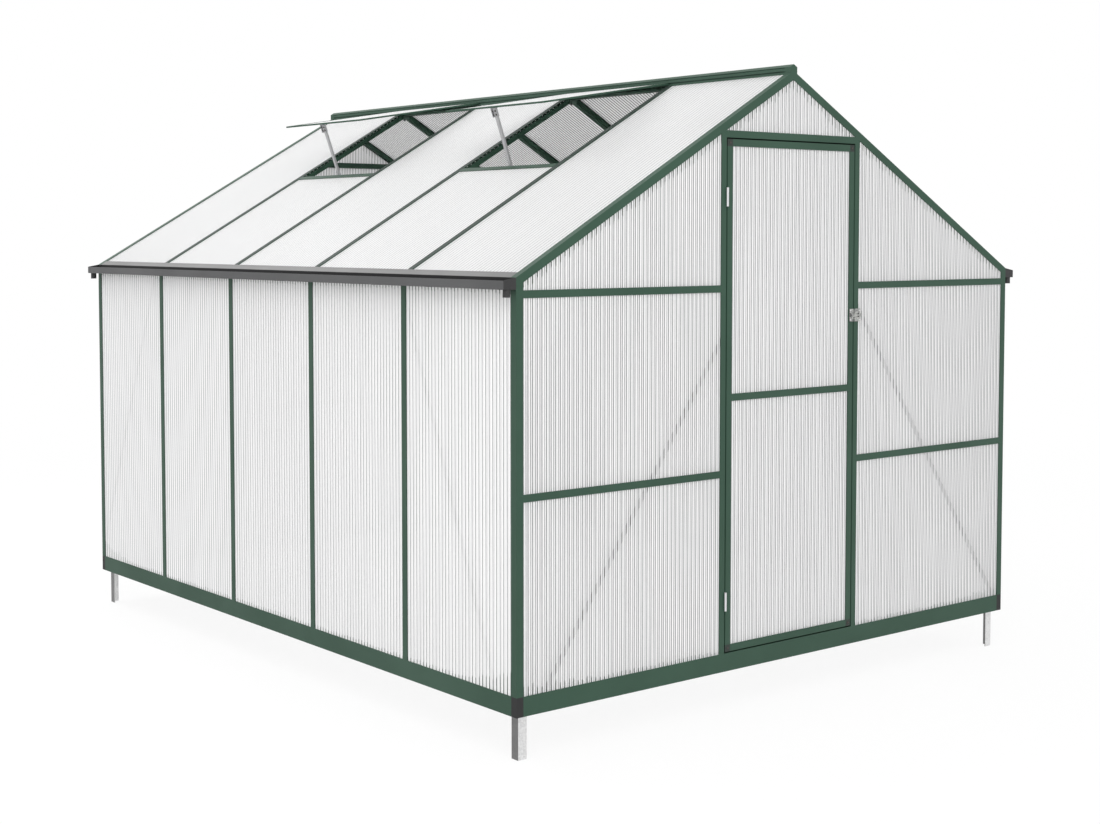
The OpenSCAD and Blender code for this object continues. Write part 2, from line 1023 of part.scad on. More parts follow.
// Places a strip drawn in the XZ plane on the inner face of the left side wall
module on_left_wall() {
    translate([-half_w + frame_d, 0, 0])
        rotate([0, 0, 90])
            mirror([0, 1, 0])
                children();
}

module wall_braces() {
    head_z = eaves_bottom - 2 * brace_run_out;
    front_foot = [-half_l + brace_foot, base_top - brace_run_out];
    front_head = [bar_y(1) + brace_run_out, head_z];
    back_foot = [-half_l + 2 * brace_run_out, base_top + frame_d];
    back_head = [bar_y(1) - brace_shift, head_z];
    color(silver)
        at_both_sides() {
            on_left_wall()
                brace_strip(front_foot, front_head);
            mirror([0, 1, 0])
                on_left_wall()
                    brace_strip(back_foot, back_head);
        }
}

// ---------- door ----------

// Door frame: two stiles and two rails, which end at the corner pieces
module door_frame() {
    color(green) {
        at_both_sides()
            translate([-leaf_half + door_bar / 2, -half_l, door_bottom + door_bar])
                linear_extrude(door_top - door_bottom - 2 * door_bar)
                    bar_section(door_bar, left = false, d = door_d);
        translate([0, -half_l, door_bottom + door_bar / 2])
            along_x(-leaf_half + door_bar, leaf_half - door_bar)
                rotate(90)
                    mirror([0, 1])
                        bar_section(door_bar, left = false, d = door_d);
        translate([0, -half_l, door_top - door_bar / 2])
            along_x(-leaf_half + door_bar, leaf_half - door_bar)
                rotate(90)
                    mirror([0, 1])
                        bar_section(door_bar, right = false, d = door_d);
    }
}

// Moulded corner of the door, with a pocket for the corner of the sheet
module door_corner() {
    difference() {
        cube([door_bar, door_d, door_bar]);
        translate([door_bar - groove_d, flange, door_bar - groove_d])
            cube([door_bar, groove_w, door_bar]);
    }
}

module door_corners() {
    color(charcoal)
        translate([0, -half_l, 0])
            at_both_sides() {
                translate([-leaf_half, 0, door_bottom])
                    door_corner();
                translate([-leaf_half, 0, door_top])
                    mirror([0, 0, 1])
                        door_corner();
            }
}

module door_rail() {
    color(green)
        translate([0, -half_l, base_z + door_rail_z + rail_h / 2])
            along_x(-leaf_half + door_bar, leaf_half - door_bar)
                rotate(90)
                    mirror([0, 1])
                        bar_section(rail_h, d = door_d);
}

module door_sheets() {
    half = leaf_half - door_bar + grip;
    color(milky)
        translate([0, -half_l + sheet_in, 0]) {
            upright_sheet(-half, half, door_bottom + door_bar - grip, base_z + door_rail_z + grip);
            upright_sheet(-half, half, base_z + door_rail_z + rail_h - grip, door_top - door_bar + grip);
        }
}

// Hinge axis, in front of the gap between the door and its post
// Distance of the hinge leaves' front edges from the gable face, and their depth in the gap
leaf_set = 0.5;
leaf_d = 18;
hinge_x = -door_half + door_gap / 2 - hinge_shift;
hinge_y = -half_l - knuckle_d / 2 - leaf_set;
knuckle_l = hinge_l / 3;
knuckle_play = 0.3;
pin_play = 0.2;
hinge_heights = [base_z + hinge_low_z, base_z + hinge_high_z];

// One hinge leaf plate: x0 is its low face, and it reaches from y0 into the gap
module hinge_plate(x0, y0, z0, h) {
    translate([x0, y0, z0])
        cube([leaf_t, -half_l + leaf_d - y0, h]);
}

// Leaf on the post, with the end knuckles and the pin
module post_hinge_leaves() {
    color(silver)
        for (zc = hinge_heights) {
            z0 = zc - hinge_l / 2;
            hinge_plate(-door_half, -half_l + leaf_set, z0, hinge_l);
            for (z1 = [z0, z0 + 2 * knuckle_l]) {
                translate([hinge_x, hinge_y, z1])
                    cylinder(d = knuckle_d, h = knuckle_l);
                hinge_plate(-door_half, hinge_y, z1, knuckle_l);
            }
            translate([hinge_x, hinge_y, z0])
                cylinder(d = pin_d, h = hinge_l);
        }
}

// Leaf on the door, with the middle knuckle
module door_hinge_leaves() {
    color(silver)
        for (zc = hinge_heights) {
            z0 = zc - hinge_l / 2;
            z1 = z0 + knuckle_l + knuckle_play;
            h = knuckle_l - 2 * knuckle_play;
            hinge_plate(-leaf_half - leaf_t, -half_l + leaf_set, z0, hinge_l);
            difference() {
                union() {
                    translate([hinge_x, hinge_y, z1])
                        cylinder(d = knuckle_d, h = h);
                    hinge_plate(-leaf_half - leaf_t, hinge_y, z1, h);
                }
                translate([hinge_x, hinge_y, z1 - 1])
                    cylinder(d = pin_d + pin_play, h = h + 2);
            }
        }
}

latch_bottom = base_z + latch_z - latch_h / 2;
bolt_y = -half_l - 2 * latch_t - bolt_d / 2;
bolt_end = door_half + keeper_w / 2;
stop_w = 8;

// Latch plate on the door's free stile, with a bolt that reaches across to the keeper
module door_latch() {
    guide_h = bolt_d + 2 * latch_t;
    color(silver) {
        translate([leaf_half - latch_w, -half_l - latch_t, latch_bottom])
            cube([latch_w, latch_t, latch_h]);
        translate([leaf_half - latch_w + latch_t, bolt_y, base_z + latch_z - guide_h / 2])
            cube([latch_w - 2 * latch_t, -half_l - latch_t - bolt_y, guide_h]);
        translate([leaf_half - latch_w + latch_t, bolt_y, base_z + latch_z])
            rotate([0, 90, 0])
                cylinder(d = bolt_d, h = bolt_end - leaf_half + latch_w - latch_t);
    }
}

// Keeper plate on the door post, with a stop beyond the bolt's end
module latch_keeper() {
    color(silver) {
        translate([door_half, -half_l - latch_t, latch_bottom])
            cube([keeper_w, latch_t, latch_h]);
        translate([bolt_end + latch_t, bolt_y, base_z + latch_z - bolt_d])
            cube([stop_w, -half_l - latch_t - bolt_y, 2 * bolt_d]);
    }
}

base_rails();
base_corners();
ground_stakes();
corner_posts();
left_wall_bars();
right_wall_bars();
left_eaves_beam();
right_eaves_beam();
left_gutter();
right_gutter();
left_gutter_ends();
right_gutter_ends();
front_rafters();
back_rafters();
door_posts();
back_posts();
front_rails();
back_rails();
door_lintel();
ridge_beam();
ridge_ends();
left_roof_bars();
right_roof_bars();
vent_sills();
vent_sashes();
vent_sheets();
vent_stays();
wall_braces();
gable_braces();
left_wall_sheets();
right_wall_sheets();
front_gable_sheets();
back_gable_sheets();
left_roof_sheets();
right_roof_sheets();
door_frame();
door_corners();
door_rail();
door_sheets();
door_hinge_leaves();
post_hinge_leaves();
door_latch();
latch_keeper();
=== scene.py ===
"""Finishes a walk-in polycarbonate greenhouse: paint, moulded plastic, zinc, twin-wall sheets and fasteners.

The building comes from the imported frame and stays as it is. This add-on gives every part its finish, adds the
small hardware that holds the parts together, and sets up a pale studio around them.
"""

import math
from typing import NamedTuple

import bpy
import numpy as np
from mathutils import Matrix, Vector


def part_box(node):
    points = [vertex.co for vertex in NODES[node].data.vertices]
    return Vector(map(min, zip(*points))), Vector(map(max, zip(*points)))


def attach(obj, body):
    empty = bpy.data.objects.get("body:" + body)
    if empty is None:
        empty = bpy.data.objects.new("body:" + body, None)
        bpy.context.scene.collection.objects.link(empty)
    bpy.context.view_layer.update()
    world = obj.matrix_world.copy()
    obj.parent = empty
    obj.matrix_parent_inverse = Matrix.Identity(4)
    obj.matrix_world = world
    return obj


bl_info = {
    "name": "Greenhouse finisher",
    "version": (1, 0, 0),
    "blender": (4, 5, 0),
    "location": "View3D > Sidebar > Greenhouse",
    "description": "Finishes, hardware and studio for a twin-wall greenhouse",
    "category": "Object",
}

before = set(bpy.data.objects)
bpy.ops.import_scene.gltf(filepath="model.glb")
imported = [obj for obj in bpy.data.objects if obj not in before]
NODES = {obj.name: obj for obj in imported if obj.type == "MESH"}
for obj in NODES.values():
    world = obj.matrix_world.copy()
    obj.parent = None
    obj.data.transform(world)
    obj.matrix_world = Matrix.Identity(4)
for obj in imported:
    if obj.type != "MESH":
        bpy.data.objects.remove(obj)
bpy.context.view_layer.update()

GREEN_NODES = (
    "base_rails", "corner_posts", "left_wall_bars", "right_wall_bars", "front_rafters", "back_rafters",
    "door_posts", "back_posts", "front_rails", "back_rails", "door_lintel", "ridge_beam", "ridge_ends",
    "vent_sills", "vent_sashes", "door_frame", "door_rail",
)
ROOF_BAR_NODES = ("left_roof_bars", "right_roof_bars")
EAVES_NODES = ("left_eaves_beam", "right_eaves_beam")
GUTTER_NODES = ("left_gutter", "right_gutter")
GUTTER_END_NODES = ("left_gutter_ends", "right_gutter_ends")
BRACE_NODES = ("wall_braces", "gable_braces")
ALUMINIUM_NODES = ("door_hinge_leaves", "post_hinge_leaves")
ZINC_NODES = ("door_latch", "latch_keeper")

# Wall of the gutters, and height of the painted shade on the beams above the gutters' rims
GUTTER_WALL = 0.0018
PAINTED_SHADE_HEIGHT = 0.003

# Width of the bars of the walls and the roof, and their middles along Y
BAR_WIDTH = 0.028
BAR_PLACES = (-0.93, -0.31, 0.31, 0.93)

# Scale of the fine grain on paint and on moulded plastic, and how much dust and bump both have
PAINT_GRAIN = 900.0
PLASTIC_GRAIN = 1500.0
COAT_DUST = 0.04
COAT_BUMP = 0.06

# Legs and wall of the ground stakes, how far in from a brace's end its bolt sits, and half a brace's width
STAKE_LEG = 0.035
STAKE_WALL = 0.0025
BRACE_INSET = 0.014
BRACE_HALF = 0.010

# Door hardware: thickness of the latch plates, distance of their rivets from the edges, size of the corner
# blocks, and gap between the leaf and the seal
LATCH_PLATE = 0.003
RIVET_INSET = 0.006
CORNER_BLOCK = 0.025
SEAL_PLAY = 0.0006

# Vent stays in XZ: their pins, lower and upper, and the screws of their upper ears. Then their middle along Y
STAY_PINS = ((-0.5547, 1.9554), (-0.6290, 2.1615))
STAY_HOLES = ((-0.6340, 2.1504), (-0.6390, 2.1641))
STAY_MIDDLE = 0.62

# Width of the groove side of a door post's face, and the depth past which a sheet's faces are inner ones
HALF_POST = 0.012
SKIN_DEPTH = 0.0002

# Points this near to a limit count as on it
NEAR = 1e-4

# Small pieces: edges past the first angle are sharp, and their domes end at the second, where a flat closes
# them. Then the rim's share of the height of a head
SHARP_ANGLE = math.radians(35)
DOME_END = math.radians(80)
HEAD_RIM = 0.3

# Depth of the studs below the outer face of the bars beside the vents, and depth of those bars' grooves
STUD_DROP = 0.0048
GROOVE_DEPTH = 0.009

# Dark ends of the flutes: their least and greatest length, how many times longer they are at the corners of
# the walls and of the gables, and the share of the upright distance to the rafters that counts for them
END_REACH = (0.010, 0.018)
WALL_STRETCH = 5.0
GABLE_STRETCH = 2.5
RAFTER_SHARE = 0.5

# How strongly the painted shadow of a brace shows on a sheet between its dashes
FAINT_BRACE_SHADOW = 0.03

# Width of the shaded flutes beside the roof bars
BAR_SHADE = 0.05

# Lines over one flute, from 0 to 1: middle, half width of the core, and half width with the soft edge
BRIGHT_LINE = (0.35, 0.07, 0.19)
SECOND_BRIGHT_LINE = (0.86, 0.03, 0.12)
DARK_LINE = (0.06, 0.05, 0.16)
SECOND_DARK_LINE = (0.64, 0.04, 0.13)
SLIT_LINE = (0.06, 0.05, 0.12)
END_LINE = (0.08, 0.10, 0.16)

# Camera: width of its sensor in millimetres, and the distance to which it sees
SENSOR_WIDTH = 36.0
VIEW_LIMIT = 200.0

# Lamps: their places and diameters, and what they point at
KEY_LAMP = ((-4.5, -6.5, 6.5), 6.0)
ROOF_LAMP = ((-1.7, 3.4, 4.9), 3.0)
LAMP_TARGET = (0.0, 0.0, 1.0)

# Floor: half its side, and the distances from the middle between which it fades to white
FLOOR_HALF = 60.0
FLOOR_FADE = (2.5, 9.0)


class Look(NamedTuple):
    """Look of one group of sheets"""

    phase: float  # where the ribs start, as a part of their spacing
    second: float  # strength of the weaker pair of lines of each flute
    strength: float  # strength of all lines
    back: float  # half width of the line seen from inside the building
    back_tone: float  # strength of that line
    dashes: float  # strength of the dashes where a brace stands behind
    glow: float  # share of the light that passes


WALL_LOOK = Look(phase=0.5, second=0.4, strength=1.0, back=0.14, back_tone=0.6, dashes=0.25, glow=0.24)
GABLE_LOOK = Look(phase=0.0, second=1.0, strength=1.0, back=0.12, back_tone=0.6, dashes=1.0, glow=0.4)
ROOF_LOOK = Look(phase=0.5, second=0.3, strength=0.6, back=0.24, back_tone=1.0, dashes=0.0, glow=0.5)
VENT_LOOK = Look(phase=0.0, second=0.3, strength=0.15, back=0.2, back_tone=1.0, dashes=0.0, glow=0.5)


# ---------- settings ----------


def setting(name, description, default, **kind):
    """A setting that holds one number, or several if its kind has a size"""
    make = bpy.props.FloatVectorProperty if "size" in kind else bpy.props.FloatProperty
    return make(name=name, description=description, default=default, **kind)


def colour_setting(name, description, default):
    """A setting that holds a colour"""
    return setting(name, description, default, subtype="COLOR", size=3, min=0, max=1)


def share_setting(name, description, default):
    """A setting that holds a share from 0 to 1"""
    return setting(name, description, default, subtype="FACTOR", min=0, max=1)


def length_setting(name, description, default):
    """A setting that holds a length"""
    return setting(name, description, default, subtype="DISTANCE", unit="LENGTH", min=0.0001, precision=4)


def head_setting(name, description, default):
    """A setting that holds the radius and the height of a fastener's head"""
    return setting(name, description, default, unit="LENGTH", size=2, min=0.0001, precision=4)


class PaintSettings(bpy.types.PropertyGroup):
    """Colours and gloss of the painted, moulded and plated parts"""

    green: colour_setting("Frame green", "Powder coat of the bars, posts and rails", (0.029, 0.071, 0.046))
    green_roughness: share_setting("Frame roughness", "How matt the powder coat is", 0.55)
    roof_bar: colour_setting(
        "Roof bars", "Weathered coat on the outer face of the bars of the roof", (0.032, 0.050, 0.042))
    plastic: colour_setting("Moulded plastic", "Corner pieces of the base frame", (0.0225, 0.0230, 0.0235))
    door_corner: colour_setting(
        "Door corners", "Moulded blocks in the corners of the door frame", (0.027, 0.036, 0.031))
    end_plate: colour_setting("Gutter ends", "Moulded plates that close the gutters", (0.033, 0.033, 0.034))
    trim: colour_setting("Gutters", "Charcoal paint on the face of the gutters", (0.080, 0.081, 0.083))
    eaves: colour_setting(
        "Eaves beams", "Charcoal paint of the beams below the roof sheets", (0.15, 0.15, 0.15))
    # Painted shade: the dark inside the deep gutter channels and on the beams just above their rims
    channel: colour_setting(
        "Dark film", "Film in the gutters and on the beams just above them", (0.010, 0.010, 0.011))
    zinc: colour_setting("Zinc", "Galvanised ground stakes", (0.78, 0.78, 0.78))
    # Painted shade on the faces of the stakes and the latch that look along X
    zinc_painted_shade: colour_setting(
        "Zinc in shade", "Zinc on the faces that look along the width", (0.20, 0.20, 0.20))
    latch: colour_setting("Latch zinc", "Mottled zinc of the latch and its keeper", (0.58, 0.59, 0.56))
    # Painted shade: a darker copy of the zinc for the braces and nuts inside the building
    painted_shade_zinc: colour_setting("Dull zinc", "Braces and nuts inside the building", (0.24, 0.24, 0.25))
    stay: colour_setting("Stay aluminium", "Stays that hold the vents open", (0.50, 0.50, 0.51))
    aluminium: colour_setting("Bare aluminium", "Hinges, rivets and studs", (0.74, 0.74, 0.75))
    screw: colour_setting("Screws", "Brown screws of the door corners and the stays", (0.055, 0.044, 0.038))
    seal: colour_setting("Seal", "Rubber round the door opening", (0.012, 0.013, 0.013))


class HardwareSettings(bpy.types.PropertyGroup):
    """Sizes of the fasteners and the door seal"""

    nut_flats: length_setting("Nut", "Width of the nuts over their flats", 0.010)
    nut_height: length_setting("Nut height", "Height of the nuts", 0.005)
    bolt_radius: length_setting("Bolt radius", "Radius of the bolts in the nuts", 0.003)
    bolt_end: length_setting("Bolt end", "How far the bolts stand out of their nuts", 0.002)
    rivet: head_setting("Rivet", "Radius and height of the latch and keeper rivets", (0.003, 0.0014))
    corner_screw: head_setting(
        "Corner screw", "Radius and height of the door corners' screws", (0.0038, 0.002))
    pin_head: head_setting("Stay pin", "Radius and height of the vent stays' pin heads", (0.0036, 0.002))
    stay_screw: head_setting("Stay screw", "Radius and height of the vent stays' screws", (0.0034, 0.0018))
    stud_pitch: length_setting("Stud spacing", "Distance between the studs beside the vents", 0.022)
    stud_radius: length_setting("Stud", "Radius of those studs", 0.0022)
    seal_width: length_setting("Seal", "Width of the seal round the door opening", 0.012)


class SheetSettings(bpy.types.PropertyGroup):
    """Look of the twin-wall sheets"""

    pitch: length_setting("Rib spacing", "Distance between the ribs of a sheet", 0.019)
    bay: length_setting("Bay", "Distance between the bars of the walls and the roof", 0.62)
    body: colour_setting("Body", "Milky colour between the ribs", (1.0, 1.0, 1.0))
    bright: colour_setting("Bright line", "Light side of each rib", (1.0, 1.0, 1.0))
    dark: colour_setting("Dark line", "Shaded side of each rib", (0.30, 0.30, 0.31))
    tick: colour_setting(
        "Flute end", "Reflection of the frame in the ends of the flutes", (0.030, 0.050, 0.040))
    # Painted shadow of the braces that stand behind the sheets
    brace: colour_setting("Brace behind", "Braces that show through the ribs", (0.07, 0.07, 0.075))
    inner: colour_setting(
        "Inner line", "Dark side of each rib, seen from inside the building", (0.05, 0.05, 0.05))
    clear: share_setting("Clear line", "How much shows through the dark side of each rib", 0.1)


class StageSettings(bpy.types.PropertyGroup):
    """Camera, floor and lights"""

    camera_place: setting(
        "Camera", "Where the camera stands", (-4.5353, -5.7948, 1.6902),
        subtype="TRANSLATION", unit="LENGTH", size=3)
    camera_heading: setting(
        "Heading", "Direction of the view, turned from +Y towards +X", 0.6784,
        subtype="ANGLE", unit="ROTATION")
    camera_dip: setting("Dip", "How far the camera looks down", 0.0542, subtype="ANGLE", unit="ROTATION")
    lens: setting("Lens", "Focal length in millimetres for a sensor 36 mm wide", 55.49, min=1)
    shift: setting("Shift", "Vertical shift of the lens", -0.0762)
    floor: colour_setting("Floor", "Pale matt floor", (0.86, 0.86, 0.86))
    sky: setting("Ambient light", "Strength of the even light from all round", 1.0, min=0)
    key: setting("Key lamp", "Power of the large soft lamp overhead", 330, unit="POWER", min=0)
    roof: setting(
        "Roof lamp", "Power of the soft lamp above the back of the left slope", 90, unit="POWER", min=0)


# ---------- shader building ----------


class Shader:
    """A node tree with one short call for each kind of node"""

    def __init__(self, tree):
        self.tree = tree

    def put(self, socket, value):
        """Links value into socket, or sets it there if it is a plain number or colour"""
        if isinstance(value, bpy.types.NodeSocket):
            self.tree.links.new(value, socket)
        elif value is not None:
            opaque = hasattr(value, "__len__") and len(value) == 3 and len(socket.default_value) == 4
            socket.default_value = (*value, 1.0) if opaque else value

    def add(self, kind, inputs=(), **settings):
        """Adds a node, with its inputs by name or number"""
        node = self.tree.nodes.new(kind)
        for name, value in settings.items():
            setattr(node, name, value)
        for name, value in dict(inputs).items():
            self.put(node.inputs[name], value)
        return node

    def math(self, operation, a, b=0.0, c=0.0, clamp=False):
        """One Math node"""
        return self.add("ShaderNodeMath", {0: a, 1: b, 2: c}, operation=operation, use_clamp=clamp).outputs[0]

    def times(self, a, b):
        """Product of two values"""
        return self.math("MULTIPLY", a, b)

    def plus(self, a, b):
        """Sum of two values"""
        return self.math("ADD", a, b)

    def minus(self, a, b):
        """The first value less the second"""
        return self.math("SUBTRACT", a, b)

    def dot(self, vector, direction):
        """Distance of a point along a direction"""
        inputs = {0: vector, 1: direction}
        return self.add("ShaderNodeVectorMath", inputs, operation="DOT_PRODUCT").outputs["Value"]

    def ramp(self, value, low, high, to_low=0.0, to_high=1.0):
        """Smooth step of a value from low to high"""
        inputs = {"Value": value, "From Min": low, "From Max": high, "To Min": to_low, "To Max": to_high}
        return self.add("ShaderNodeMapRange", inputs, interpolation_type="SMOOTHSTEP").outputs["Result"]

    def mix(self, factor, a, b):
        """Mix of two colours"""
        node = self.add("ShaderNodeMix", data_type="RGBA")
        for slot, value in ((0, factor), (6, a), (7, b)):
            self.put(node.inputs[slot], value)
        return node.outputs[2]

    def noise(self, vector, scale, detail=2.0, roughness=0.5):
        """Noise between 0 and 1"""
        inputs = {"Vector": vector, "Scale": scale, "Detail": detail, "Roughness": roughness}
        return self.add("ShaderNodeTexNoise", inputs).outputs["Fac"]

    def place(self):
        """Object coordinates"""
        return self.add("ShaderNodeTexCoord").outputs["Object"]

    def part(self, vector, axis):
        """One coordinate of a vector"""
        return self.add("ShaderNodeSeparateXYZ", {0: vector}).outputs[axis]

    def facing(self, direction):
        """How far the surface faces along a direction, from -1 to 1"""
        return self.dot(self.add("ShaderNodeNewGeometry").outputs["Normal"], direction)

    def pulse(self, t, centre, core, edge):
        """1 within core of a centre and 0 beyond edge, for a value t that repeats from 0 to 1"""
        centred = self.math("FRACT", self.plus(t, 1.5 - centre))
        away = self.math("ABSOLUTE", self.minus(centred, 0.5))
        return self.ramp(away, core, edge, 1.0, 0.0)

    def seen(self):
        """1 for rays from the camera, mirrored rays and rays through glass, and 0 for light on its way"""
        rays = self.add("ShaderNodeLightPath").outputs
        mirrored = self.math("MAXIMUM", rays["Is Glossy Ray"], rays["Is Transmission Ray"])
        return self.math("MAXIMUM", rays["Is Camera Ray"], mirrored)


def new_group(name, inputs, outputs):
    """An empty node group. Returns its Shader, its inputs and its outputs.

    inputs holds the default of each input. A socket named Colour is a colour, and all others are numbers.
    """
    group = bpy.data.node_groups.new(name, "ShaderNodeTree")
    for way, sockets in (("INPUT", inputs), ("OUTPUT", outputs)):
        for socket in sockets:
            kind = "NodeSocketColor" if socket == "Colour" else "NodeSocketFloat"
            made = group.interface.new_socket(socket, in_out=way, socket_type=kind)
            if way == "INPUT" and inputs[socket] is not None:
                made.default_value = inputs[socket]
    shader = Shader(group)
    return shader, shader.add("NodeGroupInput").outputs, shader.add("NodeGroupOutput").inputs


def use_group(shader, name, **inputs):
    """Places a node group in a material, with its values"""
    node = shader.add("ShaderNodeGroup", node_tree=bpy.data.node_groups[name])
    for socket, value in inputs.items():
        shader.put(node.inputs[socket], value)
    return node.outputs


def cleared(owner):
    """The Shader of a material or a world, with no nodes in it"""
    owner.use_nodes = True
    owner.node_tree.nodes.clear()
    return Shader(owner.node_tree)


def new_material(name):
    """A material with a Principled shader wired to its output"""
    material = bpy.data.materials.new(name)
    shader = cleared(material)
    principled = shader.add("ShaderNodeBsdfPrincipled")
    output = shader.add("ShaderNodeOutputMaterial", {"Surface": principled.outputs["BSDF"]})
    return material, shader, principled, output


def build_coat_group():
    """Powder coat or moulded skin: fine orange peel, cloudy tone and a little dust where faces look up"""
    s, given, out = new_group(
        "coated_skin", {"Colour": None, "Roughness": 0.5, "Grain": PAINT_GRAIN, "Dust": COAT_DUST},
        ("Colour", "Roughness", "Height"))
    at = s.place()
    cloud = s.noise(at, 3.0, 3.0)
    peel = s.noise(at, given["Grain"], 1.0)
    dust = s.times(s.ramp(s.facing((0, 0, 1)), 0.3, 1.0), s.times(cloud, given["Dust"]))
    tone = s.mix(s.ramp(cloud, 0.3, 0.7, 0.0, 0.12), given["Colour"], (0, 0, 0))
    s.put(out["Colour"], s.mix(dust, tone, (0.5, 0.5, 0.46)))
    s.put(out["Roughness"], s.plus(given["Roughness"], s.ramp(cloud, 0.2, 0.8, -0.05, 0.07)))
    s.put(out["Height"], peel)


def coated_material(name, colour, roughness, grain, gloss):
    """Painted metal, moulded plastic or rubber. colour is a plain colour, or a function that builds one"""
    material, s, principled, _ = new_material(name)
    colour = colour(s) if callable(colour) else colour
    skin = use_group(s, "coated_skin", Colour=colour, Roughness=roughness, Grain=grain, Dust=COAT_DUST)
    s.put(principled.inputs["Base Color"], skin["Colour"])
    s.put(principled.inputs["Roughness"], skin["Roughness"])
    principled.inputs["Specular IOR Level"].default_value = gloss
    rounded = s.add("ShaderNodeBump", {"Height": skin["Height"], "Strength": COAT_BUMP, "Distance": 0.0004})
    s.put(principled.inputs["Normal"], rounded.outputs["Normal"])
    return material


def assign(material, names):
    """Gives each named node this material in every slot"""
    for name in names:
        slots = NODES[name].material_slots
        for slot in slots:
            slot.link = "OBJECT"
            slot.material = material
        if not slots:
            raise RuntimeError(f"{name} has no material slot")


# ---------- operators ----------


class PaintOperator(bpy.types.Operator):
    """Powder coat, moulded plastic and charcoal trim"""

    bl_idname = "greenhouse.paint"
    bl_label = "Paint the frame"

    def execute(self, context):
        paint = context.scene.greenhouse_paint
        build_coat_group()

        def channel_or_face(s):
            """Face colour on the outside of a gutter, and painted shade inside its channel"""
            return s.mix(inside_gutter(s), paint.trim, paint.channel)

        def beam_or_painted_shade(s):
            """Eaves beams: charcoal, with painted shade on the outer face up to just above the gutter's rim"""
            low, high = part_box("right_gutter")
            at = s.place()
            below = s.math("LESS_THAN", s.part(at, "Z"), high[2] + PAINTED_SHADE_HEIGHT)
            outer = s.math("GREATER_THAN", s.math("ABSOLUTE", s.part(at, "X")), low[0] - GUTTER_WALL / 2)
            return s.mix(s.times(below, outer), paint.eaves, paint.channel)

        def bar_or_face(s):
            """Roof bars: green on their sides and inside, and a weathered grey green on their outer face"""
            slope = broadest_facing("right_roof_sheets", (1, 0, 1))
            turned = s.add("ShaderNodeVectorMath", {
                0: s.add("ShaderNodeNewGeometry").outputs["Normal"]}, operation="ABSOLUTE").outputs[0]
            outward = s.times(s.dot(turned, slope), s.math("SIGN", s.facing((0, 0, 1))))
            return s.mix(s.math("GREATER_THAN", outward, 0.9), paint.green, paint.roof_bar)

        def end_or_face(s):
            """Gutter ends: dark end plates, with the gutter's face colour on the long face and painted shade in
            the channel
            """
            low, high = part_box("right_gutter_ends")
            outward = s.math("GREATER_THAN", s.math("ABSOLUTE", s.facing((1, 0, 0))), 0.7)
            at = s.place()
            x, y = (s.math("ABSOLUTE", s.part(at, axis)) for axis in "XY")
            outermost = s.math("GREATER_THAN", x, high[0] - GUTTER_WALL / 2)
            face = s.mix(s.times(outward, outermost), paint.end_plate, paint.trim)
            plate = s.math("GREATER_THAN", y, high[1] - GUTTER_WALL / 2)
            return s.mix(plate, s.mix(inside_gutter(s), face, paint.channel), paint.end_plate)

        for name, colour, roughness, grain, gloss, nodes in (
            ("green_frame", paint.green, paint.green_roughness, PAINT_GRAIN, 0.3, GREEN_NODES),
            ("roof_bar_coat", bar_or_face, 0.6, PAINT_GRAIN, 0.2, ROOF_BAR_NODES),
            ("charcoal_plastic", paint.plastic, 0.6, PLASTIC_GRAIN, 0.3, ("base_corners",)),
            ("door_corner_plastic", paint.door_corner, 0.6, PLASTIC_GRAIN, 0.3, ("door_corners",)),
            ("seal_rubber", paint.seal, 0.7, PLASTIC_GRAIN, 0.3, ()),
            ("brown_screw", paint.screw, 0.5, PLASTIC_GRAIN, 0.3, ()),
            ("charcoal_eaves", beam_or_painted_shade, 0.5, PAINT_GRAIN, 0.3, EAVES_NODES),
            ("charcoal_trim", channel_or_face, 0.5, PAINT_GRAIN, 0.3, GUTTER_NODES),
            ("gutter_end_plastic", end_or_face, 0.55, PLASTIC_GRAIN, 0.3, GUTTER_END_NODES),
        ):
            assign(coated_material(name, colour, roughness, grain, gloss), nodes)
        return {"FINISHED"}


def inside_gutter(s):
    """1 inside the gutter channels: behind their front wall, above their floor and outside the building"""
    low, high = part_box("right_gutter")
    at = s.place()
    x = s.math("ABSOLUTE", s.part(at, "X"))
    behind = s.math("LESS_THAN", x, high[0] - GUTTER_WALL / 2)
    above = s.math("GREATER_THAN", s.part(at, "Z"), low[2] + GUTTER_WALL / 2)
    return s.times(behind, above)


class PlateOperator(bpy.types.Operator):
    """Galvanised steel, zinc and bare aluminium"""

    bl_idname = "greenhouse.plate"
    bl_label = "Plate the hardware"

    def execute(self, context):
        paint = context.scene.greenhouse_paint
        build_spangle_group()
        # side is the colour of the faces that look along X: painted shade on the stakes and the latch, the
        # plain colour on the rest
        for name, colour, side, rough, spangle, nodes in (
            ("galvanised_steel", paint.zinc, paint.zinc_painted_shade, 0.42, 0.2, ("ground_stakes",)),
            # A darker copy of the zinc for the braces and nuts inside: painted shade
            ("painted_shade_steel", paint.painted_shade_zinc, paint.painted_shade_zinc, 0.5, 0.3, BRACE_NODES),
            ("stay_aluminium", paint.stay, paint.stay, 0.4, 0.08, ("vent_stays",)),
            ("bare_aluminium", paint.aluminium, paint.aluminium, 0.38, 0.08, ALUMINIUM_NODES),
            ("zinc_latch", paint.latch, paint.zinc_painted_shade, 0.4, 0.8, ZINC_NODES),
        ):
            assign(plated_material(name, colour, side, rough, spangle), nodes)
        return {"FINISHED"}


